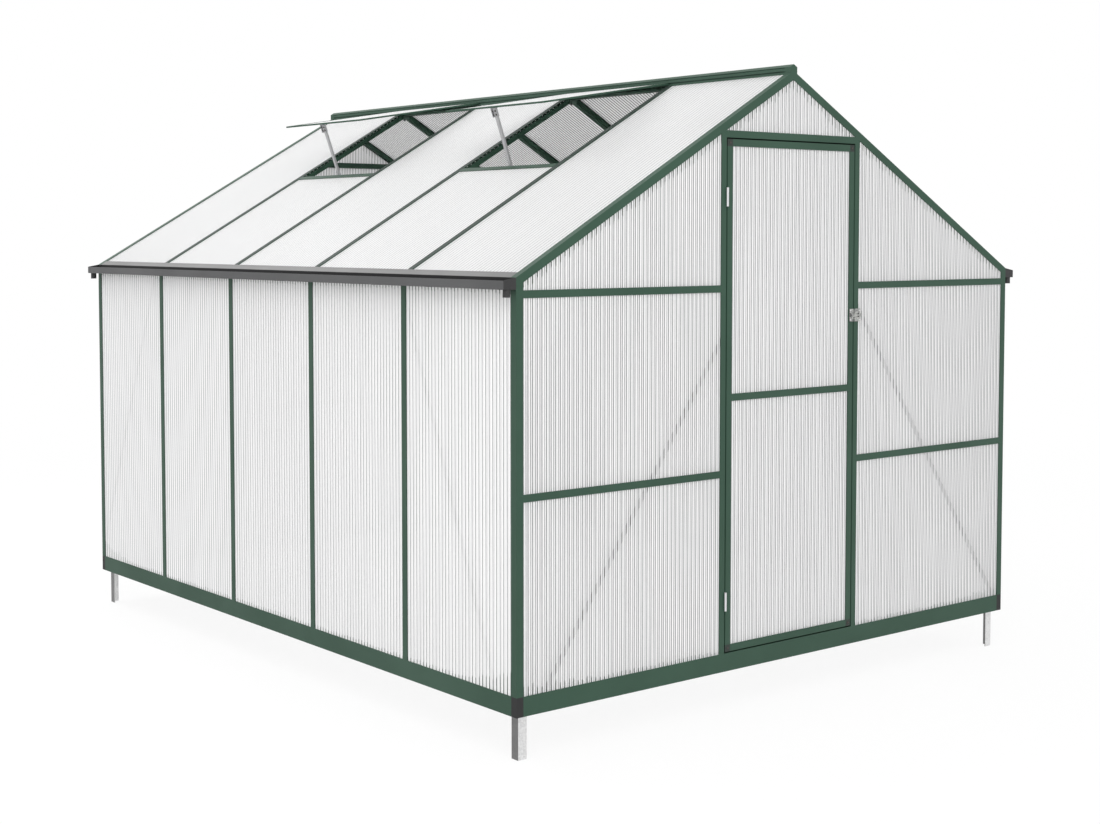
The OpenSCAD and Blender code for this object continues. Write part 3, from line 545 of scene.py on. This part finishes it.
def build_spangle_group():
    """Crystals of a zinc skin: cells of differing tone, with cloudy roughness"""
    s, given, out = new_group(
        "zinc_spangle", {"Colour": None, "Roughness": 0.4, "Spangle": 0.25, "Scale": 160.0},
        ("Colour", "Roughness"))
    at = s.place()
    cells = s.add("ShaderNodeTexVoronoi", {"Vector": at, "Scale": given["Scale"]}).outputs["Color"]
    level = s.add("ShaderNodeSeparateColor", {0: cells}).outputs[0]
    amount = s.times(level, given["Spangle"])
    s.put(out["Colour"], s.mix(amount, given["Colour"], (0.12, 0.12, 0.13)))
    cloud = s.ramp(s.noise(at, 90.0, 3.0), 0.2, 0.8, -0.1, 0.1)
    s.put(out["Roughness"], s.plus(given["Roughness"], cloud))


def plated_material(name, colour, side, rough, spangle):
    """Bare or plated metal, with painted shade on the faces that look along X"""
    material, s, principled, _ = new_material(name)
    painted_shade_share = s.ramp(s.math("ABSOLUTE", s.facing((1, 0, 0))), 0.6, 0.8)
    tone = s.mix(painted_shade_share, colour, side)
    skin = use_group(s, "zinc_spangle", Colour=tone, Roughness=rough, Spangle=spangle)
    s.put(principled.inputs["Base Color"], skin["Colour"])
    s.put(principled.inputs["Roughness"], skin["Roughness"])
    principled.inputs["Metallic"].default_value = 0.85
    return material


def build_flute_group():
    """Lines of the ribs. Across is the distance from a sheet's middle, and t runs from 0 to 1 over a flute.

    Each flute has a strong dark and a strong bright line, painted shade and painted highlight of its rib,
    and a second, weaker pair for the inner end of its rib.
    """
    s, given, out = new_group(
        "flute_lines",
        {"Across": 0.0, "Along": 0.0, "Pitch": 0.019, "Phase": 0.0, "Second": 1.0, "Back": 0.2, "Seed": 0.0},
        ("Bright", "Dark", "Slit", "End", "Inner", "Tone", "Height"))
    turns = s.plus(s.math("DIVIDE", given["Across"], given["Pitch"]), given["Phase"])
    t = s.math("FRACT", turns)
    number = s.add("ShaderNodeCombineXYZ", {0: s.math("FLOOR", turns), 1: given["Seed"]}).outputs[0]
    tone = s.add("ShaderNodeTexWhiteNoise", {"Vector": number}, noise_dimensions="2D").outputs["Value"]
    drawn = s.add("ShaderNodeCombineXYZ", {
        0: s.times(turns, 0.9), 1: s.times(given["Along"], 1.6), 2: given["Seed"]})
    streak = s.ramp(s.noise(drawn.outputs[0], 1.0, 2.0), 0.3, 0.7)
    second = s.times(given["Second"], s.plus(0.55, s.times(streak, 0.6)))
    bright, dark, inner = rib_lines(s, t, second, given["Back"])
    s.put(out["Bright"], bright)
    s.put(out["Dark"], dark)
    s.put(out["Slit"], s.pulse(t, *SLIT_LINE))
    s.put(out["End"], s.pulse(t, *END_LINE))
    s.put(out["Inner"], inner)
    s.put(out["Tone"], s.times(s.plus(tone, streak), 0.5))
    s.put(out["Height"], s.math("SINE", s.times(t, math.pi)))


def rib_lines(s, t, second, back):
    """Bright, dark and inner lines over one flute.

    second is the strength of its weaker pair of lines, and back the half width of the line seen from inside.
    """
    weak_bright = s.times(s.pulse(t, *SECOND_BRIGHT_LINE), second)
    weak_dark = s.times(s.pulse(t, *SECOND_DARK_LINE), second)
    bright = s.math("MAXIMUM", s.pulse(t, *BRIGHT_LINE), weak_bright)
    dark = s.math("MAXIMUM", s.pulse(t, *DARK_LINE), weak_dark)
    return bright, dark, s.pulse(t, 0.5, s.math("DIVIDE", back, 3.0), back)


def broadest_facing(name, rough):
    """Normal of a node's largest flat face among those that look roughly along a direction"""
    mesh = NODES[name].data
    normals = np.empty(3 * len(mesh.polygons))
    areas = np.empty(len(mesh.polygons))
    mesh.polygons.foreach_get("normal", normals)
    mesh.polygons.foreach_get("area", areas)
    normals = normals.reshape(-1, 3)
    along = normals @ np.array(rough, float) / np.linalg.norm(rough)
    return tuple(float(v) for v in normals[np.where(along > 0.5, areas, 0).argmax()])


def reach_along(name, direction, side=0):
    """How far a node's mesh reaches along a direction, on one side of the middle plane or on both"""
    points = mesh_points(name)
    chosen = points[points[:, 0] * side >= 0]
    return float((chosen @ np.array(direction)).max())


def along_bays(s, at, settings):
    """Distance from the middle of the bay that a point lies in, and the bay's number"""
    y = s.part(at, "Y")
    half = settings.bay / 2
    number = s.math("FLOOR", s.math("DIVIDE", s.plus(y, half), settings.bay))
    return s.minus(y, s.times(number, settings.bay)), number


def across_gable(s, at, settings):
    """Distance from the middle of the sheet column that a point lies in, and the column's number"""
    x = s.part(at, "X")
    post_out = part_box("door_posts")[1][0]
    corner_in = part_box("front_rails")[1][0]
    beside_door = s.math("GREATER_THAN", s.math("ABSOLUTE", x), post_out - HALF_POST)
    column = s.times(s.math("SIGN", x), beside_door)
    return s.minus(x, s.times(column, (post_out + corner_in) / 2)), column


def above_rail(s, at, axis, bars, stretch):
    """Height above the base rail, divided by a stretch.

    The stretch is 1 up to the middle of the end bay, and grows to its full value at the corner.
    """
    number = "XYZ".index(axis)
    height = s.minus(s.part(at, "Z"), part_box("base_rails")[1][2])
    low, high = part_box(bars)[1][number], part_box("base_rails")[1][number]
    middle = (low + high) / 2
    return s.math("DIVIDE", height, s.ramp(s.math("ABSOLUTE", s.part(at, axis)), middle, high, 1.0, stretch))


def wall_ends(s, at):
    """Distance from a point on a side wall to the base rail or the gutter, whichever is nearer"""
    below_gutter = s.minus(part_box("left_gutter")[0][2], s.part(at, "Z"))
    return s.math("MINIMUM", above_rail(s, at, "Y", "left_wall_bars", WALL_STRETCH), below_gutter)


def gable_ends(s, at):
    """Distance from a point on a gable to the base rail, or a share of its upright distance to the rafters"""
    slope = broadest_facing("left_roof_sheets", (-1, 0, 1))
    underside = -reach_along("front_rafters", tuple(-v for v in slope), side=-1)
    mirrored = s.add("ShaderNodeCombineXYZ", {
        0: s.times(s.math("ABSOLUTE", s.part(at, "X")), -1.0), 2: s.part(at, "Z")}).outputs[0]
    square_on = s.minus(underside, s.dot(mirrored, slope))
    below_rafter = s.math("DIVIDE", square_on, slope[2] / RAFTER_SHARE)
    return s.math("MINIMUM", above_rail(s, at, "X", "door_posts", GABLE_STRETCH), below_rafter)


def no_ends(s, at):
    """The ends of these flutes lie in dark channels, so they count as one metre away"""
    return 1.0


def brace_ends(name, along):
    """Signs of x and y, and the middles of both ends, of each brace of a node that runs along one axis"""
    points = mesh_points(name)
    for signs in ((-1, -1), (-1, 1), (1, -1), (1, 1)):
        brace = points[(points[:, 0] * signs[0] > 0) & (points[:, 1] * signs[1] > 0)]
        low, high = (
            brace[np.abs(brace[:, along] - limit) < NEAR].mean(axis=0)
            for limit in (brace[:, along].min(), brace[:, along].max()))
        yield signs, low, high


def brace_behind(s, at, name, along):
    """1 where a brace of a node lies behind a sheet: within half its width of the line between its ends.

    The braces of both sides mirror each other, so the lines of one side serve both.
    """
    found = 0.0
    for signs, low, high in brace_ends(name, along):
        if signs[1 - along] < 0:
            length = float(np.linalg.norm(high - low))
            run = (high - low) / length
            normal = np.zeros(3)
            normal[along], normal[2] = -run[2], run[along]
            beside = s.math("COMPARE", s.dot(at, tuple(normal)), float(low @ normal), BRACE_HALF)
            between = s.math("COMPARE", s.dot(at, tuple(run)), float((low + high) @ run) / 2, length / 2)
            found = s.math("MAXIMUM", found, s.times(beside, between))
    return found


def sheet_material(settings, node, rough, across, ends, braces, look):
    """Milky twin-wall sheet. The outer skin holds the colour; the faces inside the sheet stay clear.

    rough is the direction that the outer skin roughly faces. across and ends are functions that build the
    distance from the sheet's middle and from the ends of its flutes. braces names the node of the braces that
    stand behind it, with the number of the axis that they run along.
    Seen from inside the building, each flute has one broad dark line, because the light comes from behind it.
    """
    material, s, principled, output = new_material("sheet_" + node)
    at = s.place()
    outward = broadest_facing(node, rough)
    depth = s.minus(reach_along(node, outward), s.dot(at, outward))
    outer = s.math("LESS_THAN", depth, SKIN_DEPTH)
    distance, seed = across(s, at, settings)
    sloping = abs(outward[2]) > 0.1
    flutes = use_group(
        s, "flute_lines", Across=distance, Along=s.dot(at, (1, 0, 0) if sloping else (0, 0, 1)),
        Pitch=settings.pitch, Phase=look.phase, Second=look.second, Back=look.back, Seed=seed)
    body = s.mix(s.times(flutes["Tone"], 0.12), settings.body, (0.45, 0.45, 0.46))
    half = settings.bay / 2
    beside = s.ramp(distance, half - BAR_SHADE, half - HALF_POST, 0.0, 0.6) if sloping else 0.0
    depth_of_line = s.math("ADD", look.strength, beside, clamp=True)
    lined = s.mix(s.times(flutes["Dark"], depth_of_line), body, settings.dark)
    lined = s.mix(s.times(flutes["Bright"], look.strength), lined, settings.bright)
    reach = s.ramp(flutes["Tone"], 0.2, 0.8, *END_REACH)
    near_end = s.ramp(s.math("DIVIDE", ends(s, at), reach), 0.8, 1.0, 1.0, 0.0)
    lined = s.mix(s.times(near_end, flutes["End"]), lined, settings.tick)
    # Painted shadow of a brace behind the sheet: a dash on each flute's end line, and a faint line between the
    # dashes
    dashes = s.plus(s.times(flutes["End"], look.dashes), FAINT_BRACE_SHADOW)
    behind = brace_behind(s, at, *braces) if braces else 0.0
    lined = s.mix(s.times(behind, dashes), lined, settings.brace)
    inside = s.times(s.add("ShaderNodeNewGeometry").outputs["Backfacing"], look.back_tone)
    shaded = s.mix(s.times(inside, flutes["Inner"]), lined, settings.inner)
    s.put(principled.inputs["Base Color"], shaded)
    principled.inputs["Roughness"].default_value = 0.35
    principled.inputs["Specular IOR Level"].default_value = 0.35
    slit = s.times(flutes["Slit"], s.minus(settings.clear, near_end))
    skin = s.minus(1.0, s.math("MAXIMUM", slit, 0.0))
    s.put(principled.inputs["Alpha"], s.times(skin, outer))
    bump = s.add("ShaderNodeBump", {"Height": flutes["Height"], "Strength": 0.2, "Distance": 0.0005})
    s.put(principled.inputs["Normal"], bump.outputs["Normal"])
    t = s.math("FRACT", s.plus(s.math("DIVIDE", distance, settings.pitch), look.phase))
    _, dark, inner = rib_lines(s, t, look.second, look.back)
    lit = s.mix(s.times(dark, look.strength), (1, 1, 1), settings.dark)
    lit = s.mix(s.times(inside, inner), lit, settings.inner)
    passed = s.add("ShaderNodeBsdfTranslucent", {"Color": lit}).outputs["BSDF"]
    inputs = {0: s.times(outer, look.glow), 1: principled.outputs["BSDF"], 2: passed}
    mixed = s.add("ShaderNodeMixShader", inputs)
    s.put(output.inputs["Surface"], mixed.outputs[0])
    return material


class GlazeOperator(bpy.types.Operator):
    """Twin-wall sheets of the walls, gables, roof, vents and door"""

    bl_idname = "greenhouse.glaze"
    bl_label = "Glaze with twin-wall sheets"

    def execute(self, context):
        settings = context.scene.greenhouse_sheets
        build_flute_group()
        walls, gables = ("wall_braces", 1), ("gable_braces", 0)
        for node, rough, across, ends, braces, look in (
            ("left_wall_sheets", (-1, 0, 0), along_bays, wall_ends, walls, WALL_LOOK),
            ("right_wall_sheets", (1, 0, 0), along_bays, wall_ends, walls, WALL_LOOK),
            ("front_gable_sheets", (0, -1, 0), across_gable, gable_ends, gables, GABLE_LOOK),
            ("back_gable_sheets", (0, 1, 0), across_gable, gable_ends, gables, GABLE_LOOK),
            ("left_roof_sheets", (-1, 0, 1), along_bays, no_ends, None, ROOF_LOOK),
            ("right_roof_sheets", (1, 0, 1), along_bays, no_ends, None, ROOF_LOOK),
            ("vent_sheets", (-0.2, 0, 1), along_bays, no_ends, None, VENT_LOOK),
            ("door_sheets", (0, -1, 0), across_gable, no_ends, None, GABLE_LOOK),
        ):
            assign(sheet_material(settings, node, rough, across, ends, braces, look), [node])
        return {"FINISHED"}


# ---------- surfaces ----------


def new_object(name, data):
    """An object in the scene with the given mesh, camera or lamp"""
    made = bpy.data.objects.new(name, data)
    bpy.context.scene.collection.objects.link(made)
    return made


def add_surface(name, grid, places, body, slot, material, tube=False):
    """One mesh of copies of a surface, each set down at a place.

    grid holds rows of points that close round on themselves. Its rows close too if it is a tube, or else the
    first and last rows are capped. A place is an origin and the three directions of the grid's own axes.
    """
    rows, columns = grid.shape[:2]
    places = np.asarray(places, float)
    points = places[:, None, 0] + np.einsum("pk,nkc->npc", grid.reshape(-1, 3), places[:, 1:])
    ring = np.arange(columns)
    after = np.roll(ring, -1)
    low = np.arange(rows if tube else rows - 1)[:, None] * columns
    high = (low + columns) % (rows * columns)
    quads = np.stack([low + ring, low + after, high + after, high + ring], axis=-1).reshape(-1, 4)
    copies = np.arange(len(places))[:, None, None] * rows * columns
    faces = (quads + copies).reshape(-1, 4).tolist()
    if not tube:
        caps = np.stack([ring[::-1], ring + (rows - 1) * columns])
        faces += (caps + copies).reshape(-1, columns).tolist()
    mesh = bpy.data.meshes.new(name)
    mesh.from_pydata(points.reshape(-1, 3).tolist(), [], faces)
    mesh.shade_smooth()
    mesh.set_sharp_from_angle(angle=SHARP_ANGLE)
    mesh.materials.append(bpy.data.materials[material])
    piece = new_object(name, mesh)
    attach(piece, body)


def turned(profile, sides):
    """A turned surface. Each row of the profile is a radius, a height and how hexagonal it is, from 0 to 1.

    The radius of a row grows from a circle towards a hexagon by 1 / cos of the angle from the middle of each
    flat.
    """
    radius, height, hexagonal = np.array(profile, float).T
    angle = np.arange(sides) * 2 * math.pi / sides
    flat = (angle + math.pi / 6) % (math.pi / 3) - math.pi / 6
    spread = radius[:, None] * (1 + hexagonal[:, None] * (1 / np.cos(flat) - 1))
    level = np.broadcast_to(height[:, None], spread.shape)
    return np.stack([spread * np.cos(angle), spread * np.sin(angle), level], -1)


def domed_head(radius, height, sides=16, rows=5):
    """Head of a rivet or pin: a short rim below a quarter of an ellipse, turned round its axis"""
    rise = np.linspace(0, DOME_END, rows)
    profile = [(radius, 0.0, 0.0)] + [
        (radius * math.cos(a), height * (HEAD_RIM + (1 - HEAD_RIM) * math.sin(a)), 0.0) for a in rise]
    return turned(profile, sides)


def hexagon_nut(sizes):
    """A nut with chamfered corners, and the end of its bolt standing out of it"""
    half, height, bolt = sizes.nut_flats / 2, sizes.nut_height, sizes.bolt_radius
    chamfer, top = height / 8, height + sizes.bolt_end
    return turned([
        (half, 0.0, 1.0), (half, height - chamfer, 1.0), (half * 0.94, height, 0.3), (bolt, height, 0.0),
        (bolt, top - chamfer, 0.0), (bolt - chamfer, top, 0.0)], sides=24)


def facing_places(origins, direction):
    """Places at some origins with the third axis along a direction. The other two only turn the piece"""
    third = np.array(direction, float) / np.linalg.norm(direction)
    first = np.cross(third, (0.0, 0.6, 0.8) if abs(third[0]) > 0.5 else (1.0, 0.0, 0.0))
    first /= np.linalg.norm(first)
    axes = np.array([first, np.cross(third, first), third])
    return [np.vstack([origin, axes]) for origin in np.asarray(origins, float)]


def mesh_points(name):
    """Points of a node's mesh, one row each"""
    mesh = NODES[name].data
    points = np.empty(3 * len(mesh.vertices))
    mesh.vertices.foreach_get("co", points)
    return points.reshape(-1, 3)


def brace_bolts(name, along):
    """Places of the bolts BRACE_INSET in from both ends of each brace, on the face that looks inwards"""
    inward = 1 - along
    inner = np.abs(mesh_points(name)[:, inward]).min()
    places = []
    for signs, low, high in brace_ends(name, along):
        step = (high - low) / np.linalg.norm(high - low) * BRACE_INSET
        ends = np.array([low + step, high - step])
        ends[:, inward] = signs[inward] * inner
        direction = np.zeros(3)
        direction[inward] = -signs[inward]
        places += facing_places(ends, direction)
    return places


def stake_places():
    """Places on the inner faces of the ground stakes' legs, halfway up the part behind the base rails"""
    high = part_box("ground_stakes")[1]
    height = (high[2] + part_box("base_rails")[0][2]) / 2
    leg = STAKE_LEG / 2
    places = []
    for sign_x in (-1, 1):
        for sign_y in (-1, 1):
            x, y = sign_x * high[0], sign_y * high[1]
            places += facing_places([(x - sign_x * STAKE_WALL, y - sign_y * leg, height)], (-sign_x, 0, 0))
            places += facing_places([(x - sign_x * leg, y - sign_y * STAKE_WALL, height)], (0, -sign_y, 0))
    return places


def middle_height(name):
    """Height halfway up a node"""
    low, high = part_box(name)
    return (low[2] + high[2]) / 2


def wall_bar_places():
    """Places on the inner faces of the wall bars, at the base rails and at the eaves beams"""
    low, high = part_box("left_wall_bars")
    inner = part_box("base_rails")[1][0] - (high[0] - low[0])
    places = []
    for sign in (-1, 1):
        spots = [
            (sign * inner, y, z) for y in BAR_PLACES
            for z in (middle_height("base_rails"), middle_height("left_eaves_beam"))]
        places += facing_places(spots, (-sign, 0, 0))
    return places


def stay_places(spots):
    """Places on both sides of both vent stays, at some points in XZ"""
    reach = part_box("vent_stays")[1][1] - STAY_MIDDLE
    places = []
    for middle in (-STAY_MIDDLE, STAY_MIDDLE):
        for side in (-1, 1):
            places += facing_places([(x, middle + side * reach, z) for x, z in spots], (0, side, 0))
    return places


class FastenOperator(bpy.types.Operator):
    """Nuts, bolts, rivets, screws and studs"""

    bl_idname = "greenhouse.fasten"
    bl_label = "Fasten the parts"

    def execute(self, context):
        sizes = context.scene.greenhouse_hardware
        forward = (0, -1, 0)
        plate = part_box("door_frame")[0][1] - LATCH_PLATE
        low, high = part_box("door_latch")
        rows = (low[2] + RIVET_INSET, high[2] - RIVET_INSET)
        keeper_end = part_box("latch_keeper")[1][0] - RIVET_INSET
        latch_spots = [(low[0] + RIVET_INSET, plate, z) for z in rows]
        keeper_spots = [(keeper_end, plate, z) for z in rows]

        low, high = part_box("door_corners")
        inset = CORNER_BLOCK / 2
        columns = (low[0] + inset, high[0] - inset)
        corner_spots = [(x, low[1], z) for x in columns for z in (low[2] + inset, high[2] - inset)]

        nut = hexagon_nut(sizes)
        rivet = domed_head(*sizes.rivet)
        studs = stud_places(sizes.stud_pitch)
        braces = brace_bolts("wall_braces", 1) + brace_bolts("gable_braces", 0)
        for name, shape, places, body, slot, material in (
            ("brace_bolts", nut, braces, "building", "galvanised_steel", "painted_shade_steel"),
            ("stake_bolts", nut, stake_places(), "building", "galvanised_steel", "galvanised_steel"),
            ("wall_bar_nuts", nut, wall_bar_places(), "building", "galvanised_steel", "painted_shade_steel"),
            ("latch_rivets", rivet, facing_places(latch_spots, forward),
             "door", "zinc_latch", "bare_aluminium"),
            ("keeper_rivets", rivet, facing_places(keeper_spots, forward),
             "building", "zinc_latch", "bare_aluminium"),
            ("door_corner_screws", domed_head(*sizes.corner_screw), facing_places(corner_spots, forward),
             "door", "zinc_latch", "brown_screw"),
            ("stay_pin_heads", domed_head(*sizes.pin_head), stay_places(STAY_PINS),
             "building", "bare_aluminium", "stay_aluminium"),
            ("stay_screws", domed_head(*sizes.stay_screw), stay_places(STAY_HOLES),
             "building", "bare_aluminium", "brown_screw"),
            ("groove_studs", stud(sizes.stud_radius, GROOVE_DEPTH), studs,
             "building", "bare_aluminium", "bare_aluminium"),
        ):
            add_surface(name, shape, places, body, slot, material)
        return {"FINISHED"}


def stud(radius, length):
    """A pin turned round its axis: a straight side that ends in a quarter circle of its own radius"""
    rise = np.linspace(0, DOME_END, 4)
    profile = [(radius, 0.0, 0.0)] + [
        (radius * math.cos(a), length - radius * (1 - math.sin(a)), 0.0) for a in rise]
    return turned(profile, sides=12)


def stud_places(pitch):
    """Even places up the slope in the grooves that face each vent, from the sill to near the ridge"""
    slope = np.array(broadest_facing("left_roof_sheets", (-1, 0, 1)))
    up = np.array((slope[2], 0.0, -slope[0]))
    first = reach_along("vent_sills", tuple(up)) + pitch
    steps = np.arange(first, reach_along("left_roof_bars", tuple(up)) - pitch, pitch)
    line = slope * (reach_along("left_roof_bars", tuple(slope)) - STUD_DROP) + steps[:, None] * up
    web = BAR_WIDTH / 2 - GROOVE_DEPTH
    places = []
    for number, y in enumerate(BAR_PLACES):
        side = 1 if number % 2 == 0 else -1
        places += facing_places(line + (0.0, y + side * web, 0.0), (0, side, 0))
    return places


class RidgeOperator(bpy.types.Operator):
    """Clamps that join each pair of roof bars below the ridge"""

    bl_idname = "greenhouse.ridge"
    bl_label = "Clamp the bars to the ridge"

    def execute(self, context):
        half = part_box("ridge_beam")[1][0]
        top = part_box("ridge_beam")[0][2]
        bars = mesh_points("left_roof_bars")
        bottom = float(bars[bars[:, 0] > -half - NEAR][:, 2].min())
        grid = clamp_surface(half, bottom, top, BAR_WIDTH / 2)
        places = [np.vstack([(0.0, y, 0.0), np.eye(3)]) for y in BAR_PLACES]
        add_surface("ridge_clamps", grid, places, "building", "green_frame", "green_frame")
        nuts = facing_places([(0.0, y, bottom) for y in BAR_PLACES], (0, 0, -1))
        nut = hexagon_nut(context.scene.greenhouse_hardware)
        add_surface("ridge_nuts", nut, nuts, "building", "galvanised_steel", "painted_shade_steel")
        return {"FINISHED"}


def clamp_surface(half, bottom, top, reach):
    """A block under the ridge: a rectangle with cut lower corners, carried along Y with softened ends"""
    cut = (top - bottom) / 4
    outline = np.array([
        (half, top), (half, bottom + cut), (half - cut, bottom), (cut - half, bottom), (-half, bottom + cut),
        (-half, top)])
    centre = outline.mean(axis=0)
    along = np.array([-reach, -reach + 0.001, reach - 0.001, reach])
    shrink = np.array([0.94, 1.0, 1.0, 0.94])[:, None, None]
    flat = centre + (outline - centre) * shrink
    depth = np.broadcast_to(along[:, None, None], flat.shape[:2] + (1,))
    return np.concatenate([flat[..., :1], depth, flat[..., 1:]], axis=-1)


class SealOperator(bpy.types.Operator):
    """Dark seal round the door opening, just behind the leaf"""

    bl_idname = "greenhouse.seal"
    bl_label = "Seal the door opening"

    def execute(self, context):
        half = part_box("door_lintel")[1][0]
        low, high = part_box("base_rails")[1][2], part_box("door_lintel")[0][2]
        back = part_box("door_lintel")[1][1]
        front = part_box("door_frame")[1][1] + SEAL_PLAY
        width = context.scene.greenhouse_hardware.seal_width
        lip = np.array([
            (0.0, back), (0.0, front), (width * 0.7, front), (width, (front + back) / 2),
            (width * 0.7, back)])
        add_surface(
            "door_seal", opening_surface(half, low, high, lip), [np.vstack([np.zeros(3), np.eye(3)])],
            "building", "charcoal_plastic", "seal_rubber", tube=True)
        return {"FINISHED"}


def opening_surface(half, low, high, profile):
    """A profile carried round a rectangular opening. Its points are an inset from the edge and a depth"""
    inset, depth = profile.T
    x = np.stack([inset - half, half - inset, half - inset, inset - half], axis=-1)
    z = np.stack([low + inset, low + inset, high - inset, high - inset], axis=-1)
    y = np.broadcast_to(depth[:, None], x.shape)
    return np.stack([x, y, z], axis=-1)


class StageOperator(bpy.types.Operator):
    """Camera, pale floor, white background and soft lamps"""

    bl_idname = "greenhouse.stage"
    bl_label = "Set up the studio"

    def execute(self, context):
        scene = context.scene
        stage = scene.greenhouse_stage
        scene.view_settings.view_transform = "Standard"
        # A ray crosses many clear faces inside the sheets
        scene.cycles.transparent_max_bounces = 32
        camera = new_object("camera", bpy.data.cameras.new("camera"))
        camera.data.sensor_width = SENSOR_WIDTH
        camera.data.lens = stage.lens
        camera.data.shift_y = stage.shift
        camera.data.clip_end = VIEW_LIMIT
        camera.location = stage.camera_place
        view = Vector((
            math.sin(stage.camera_heading) * math.cos(stage.camera_dip),
            math.cos(stage.camera_heading) * math.cos(stage.camera_dip),
            -math.sin(stage.camera_dip),
        ))
        camera.rotation_euler = view.to_track_quat("-Z", "Y").to_euler()
        scene.camera = camera

        world = bpy.data.worlds.new("studio")
        scene.world = world
        s = cleared(world)
        soft = s.add("ShaderNodeBackground", {"Color": (1, 1, 1), "Strength": stage.sky})
        white = s.add("ShaderNodeBackground", {"Color": (1, 1, 1), "Strength": 1.0})
        mixed = s.add("ShaderNodeMixShader", {0: s.seen(), 1: soft.outputs[0], 2: white.outputs[0]})
        s.add("ShaderNodeOutputWorld", {"Surface": mixed.outputs[0]})

        corners = np.array([(-1, -1, 0), (1, -1, 0), (1, 1, 0), (-1, 1, 0)], float) * FLOOR_HALF
        mesh = bpy.data.meshes.new("floor")
        mesh.from_pydata(corners.tolist(), [], [(0, 1, 2, 3)])
        floor = new_object("floor", mesh)
        floor_material(mesh, stage.floor)

        for name, power, (place, size) in (
            ("key_lamp", stage.key, KEY_LAMP),
            ("roof_lamp", stage.roof, ROOF_LAMP),
        ):
            lamp = bpy.data.lights.new(name, "AREA")
            lamp.shape = "DISK"
            lamp.size = size
            lamp.energy = power
            light = new_object(name, lamp)
            light.location = place
            light.visible_camera = False
            light.rotation_euler = (Vector(LAMP_TARGET) - light.location).to_track_quat("-Z", "Y").to_euler()
        return {"FINISHED"}


def floor_material(mesh, colour):
    """Pale matt floor: seen directly, it is lifted towards white, more so with distance"""
    material = bpy.data.materials.new("studio_floor")
    s = cleared(material)
    distance = s.add("ShaderNodeVectorMath", {0: s.place()}, operation="LENGTH").outputs["Value"]
    lift = s.times(s.seen(), s.ramp(distance, *FLOOR_FADE, 0.9, 1.0))
    diffuse = s.add("ShaderNodeBsdfDiffuse", {"Color": colour})
    white = s.add("ShaderNodeEmission", {"Color": (1, 1, 1), "Strength": 1.0})
    lifted = s.add("ShaderNodeMixShader", {0: lift, 1: diffuse.outputs[0], 2: white.outputs[0]})
    s.add("ShaderNodeOutputMaterial", {"Surface": lifted.outputs[0]})
    mesh.materials.append(material)


class GreenhousePanel(bpy.types.Panel):
    """Steps and settings of the greenhouse"""

    bl_idname = "VIEW3D_PT_greenhouse"
    bl_label = "Greenhouse"
    bl_space_type = "VIEW_3D"
    bl_region_type = "UI"
    bl_category = "Greenhouse"

    def draw(self, context):
        layout = self.layout
        for name, (_, operators) in SECTIONS.items():
            settings = getattr(context.scene, name)
            box = layout.box()
            for key in settings.bl_rna.properties.keys():
                if key not in ("rna_type", "name"):
                    box.prop(settings, key)
            for operator in operators:
                box.operator(operator.bl_idname)


# Settings on the scene: for each, the class that holds it and the operators that read it
SECTIONS = {
    "greenhouse_paint": (PaintSettings, (PaintOperator, PlateOperator)),
    "greenhouse_hardware": (HardwareSettings, (FastenOperator, RidgeOperator, SealOperator)),
    "greenhouse_sheets": (SheetSettings, (GlazeOperator,)),
    "greenhouse_stage": (StageSettings, (StageOperator,)),
}
CLASSES = [cls for group, operators in SECTIONS.values() for cls in (group, *operators)] + [GreenhousePanel]


def register():
    """Registers the classes and hangs the settings on the scene"""
    for cls in CLASSES:
        bpy.utils.register_class(cls)
    for name, (group, _) in SECTIONS.items():
        setattr(bpy.types.Scene, name, bpy.props.PointerProperty(type=group))


def unregister():
    """Takes back what register added"""
    for name in SECTIONS:
        delattr(bpy.types.Scene, name)
    for cls in reversed(CLASSES):
        bpy.utils.unregister_class(cls)


def main():
    """Builds every finish and piece"""
    register()
    bpy.ops.greenhouse.stage()
    bpy.ops.greenhouse.paint()
    bpy.ops.greenhouse.plate()
    bpy.ops.greenhouse.glaze()
    bpy.ops.greenhouse.fasten()
    bpy.ops.greenhouse.ridge()
    bpy.ops.greenhouse.seal()


if __name__ == "__main__":
    main()
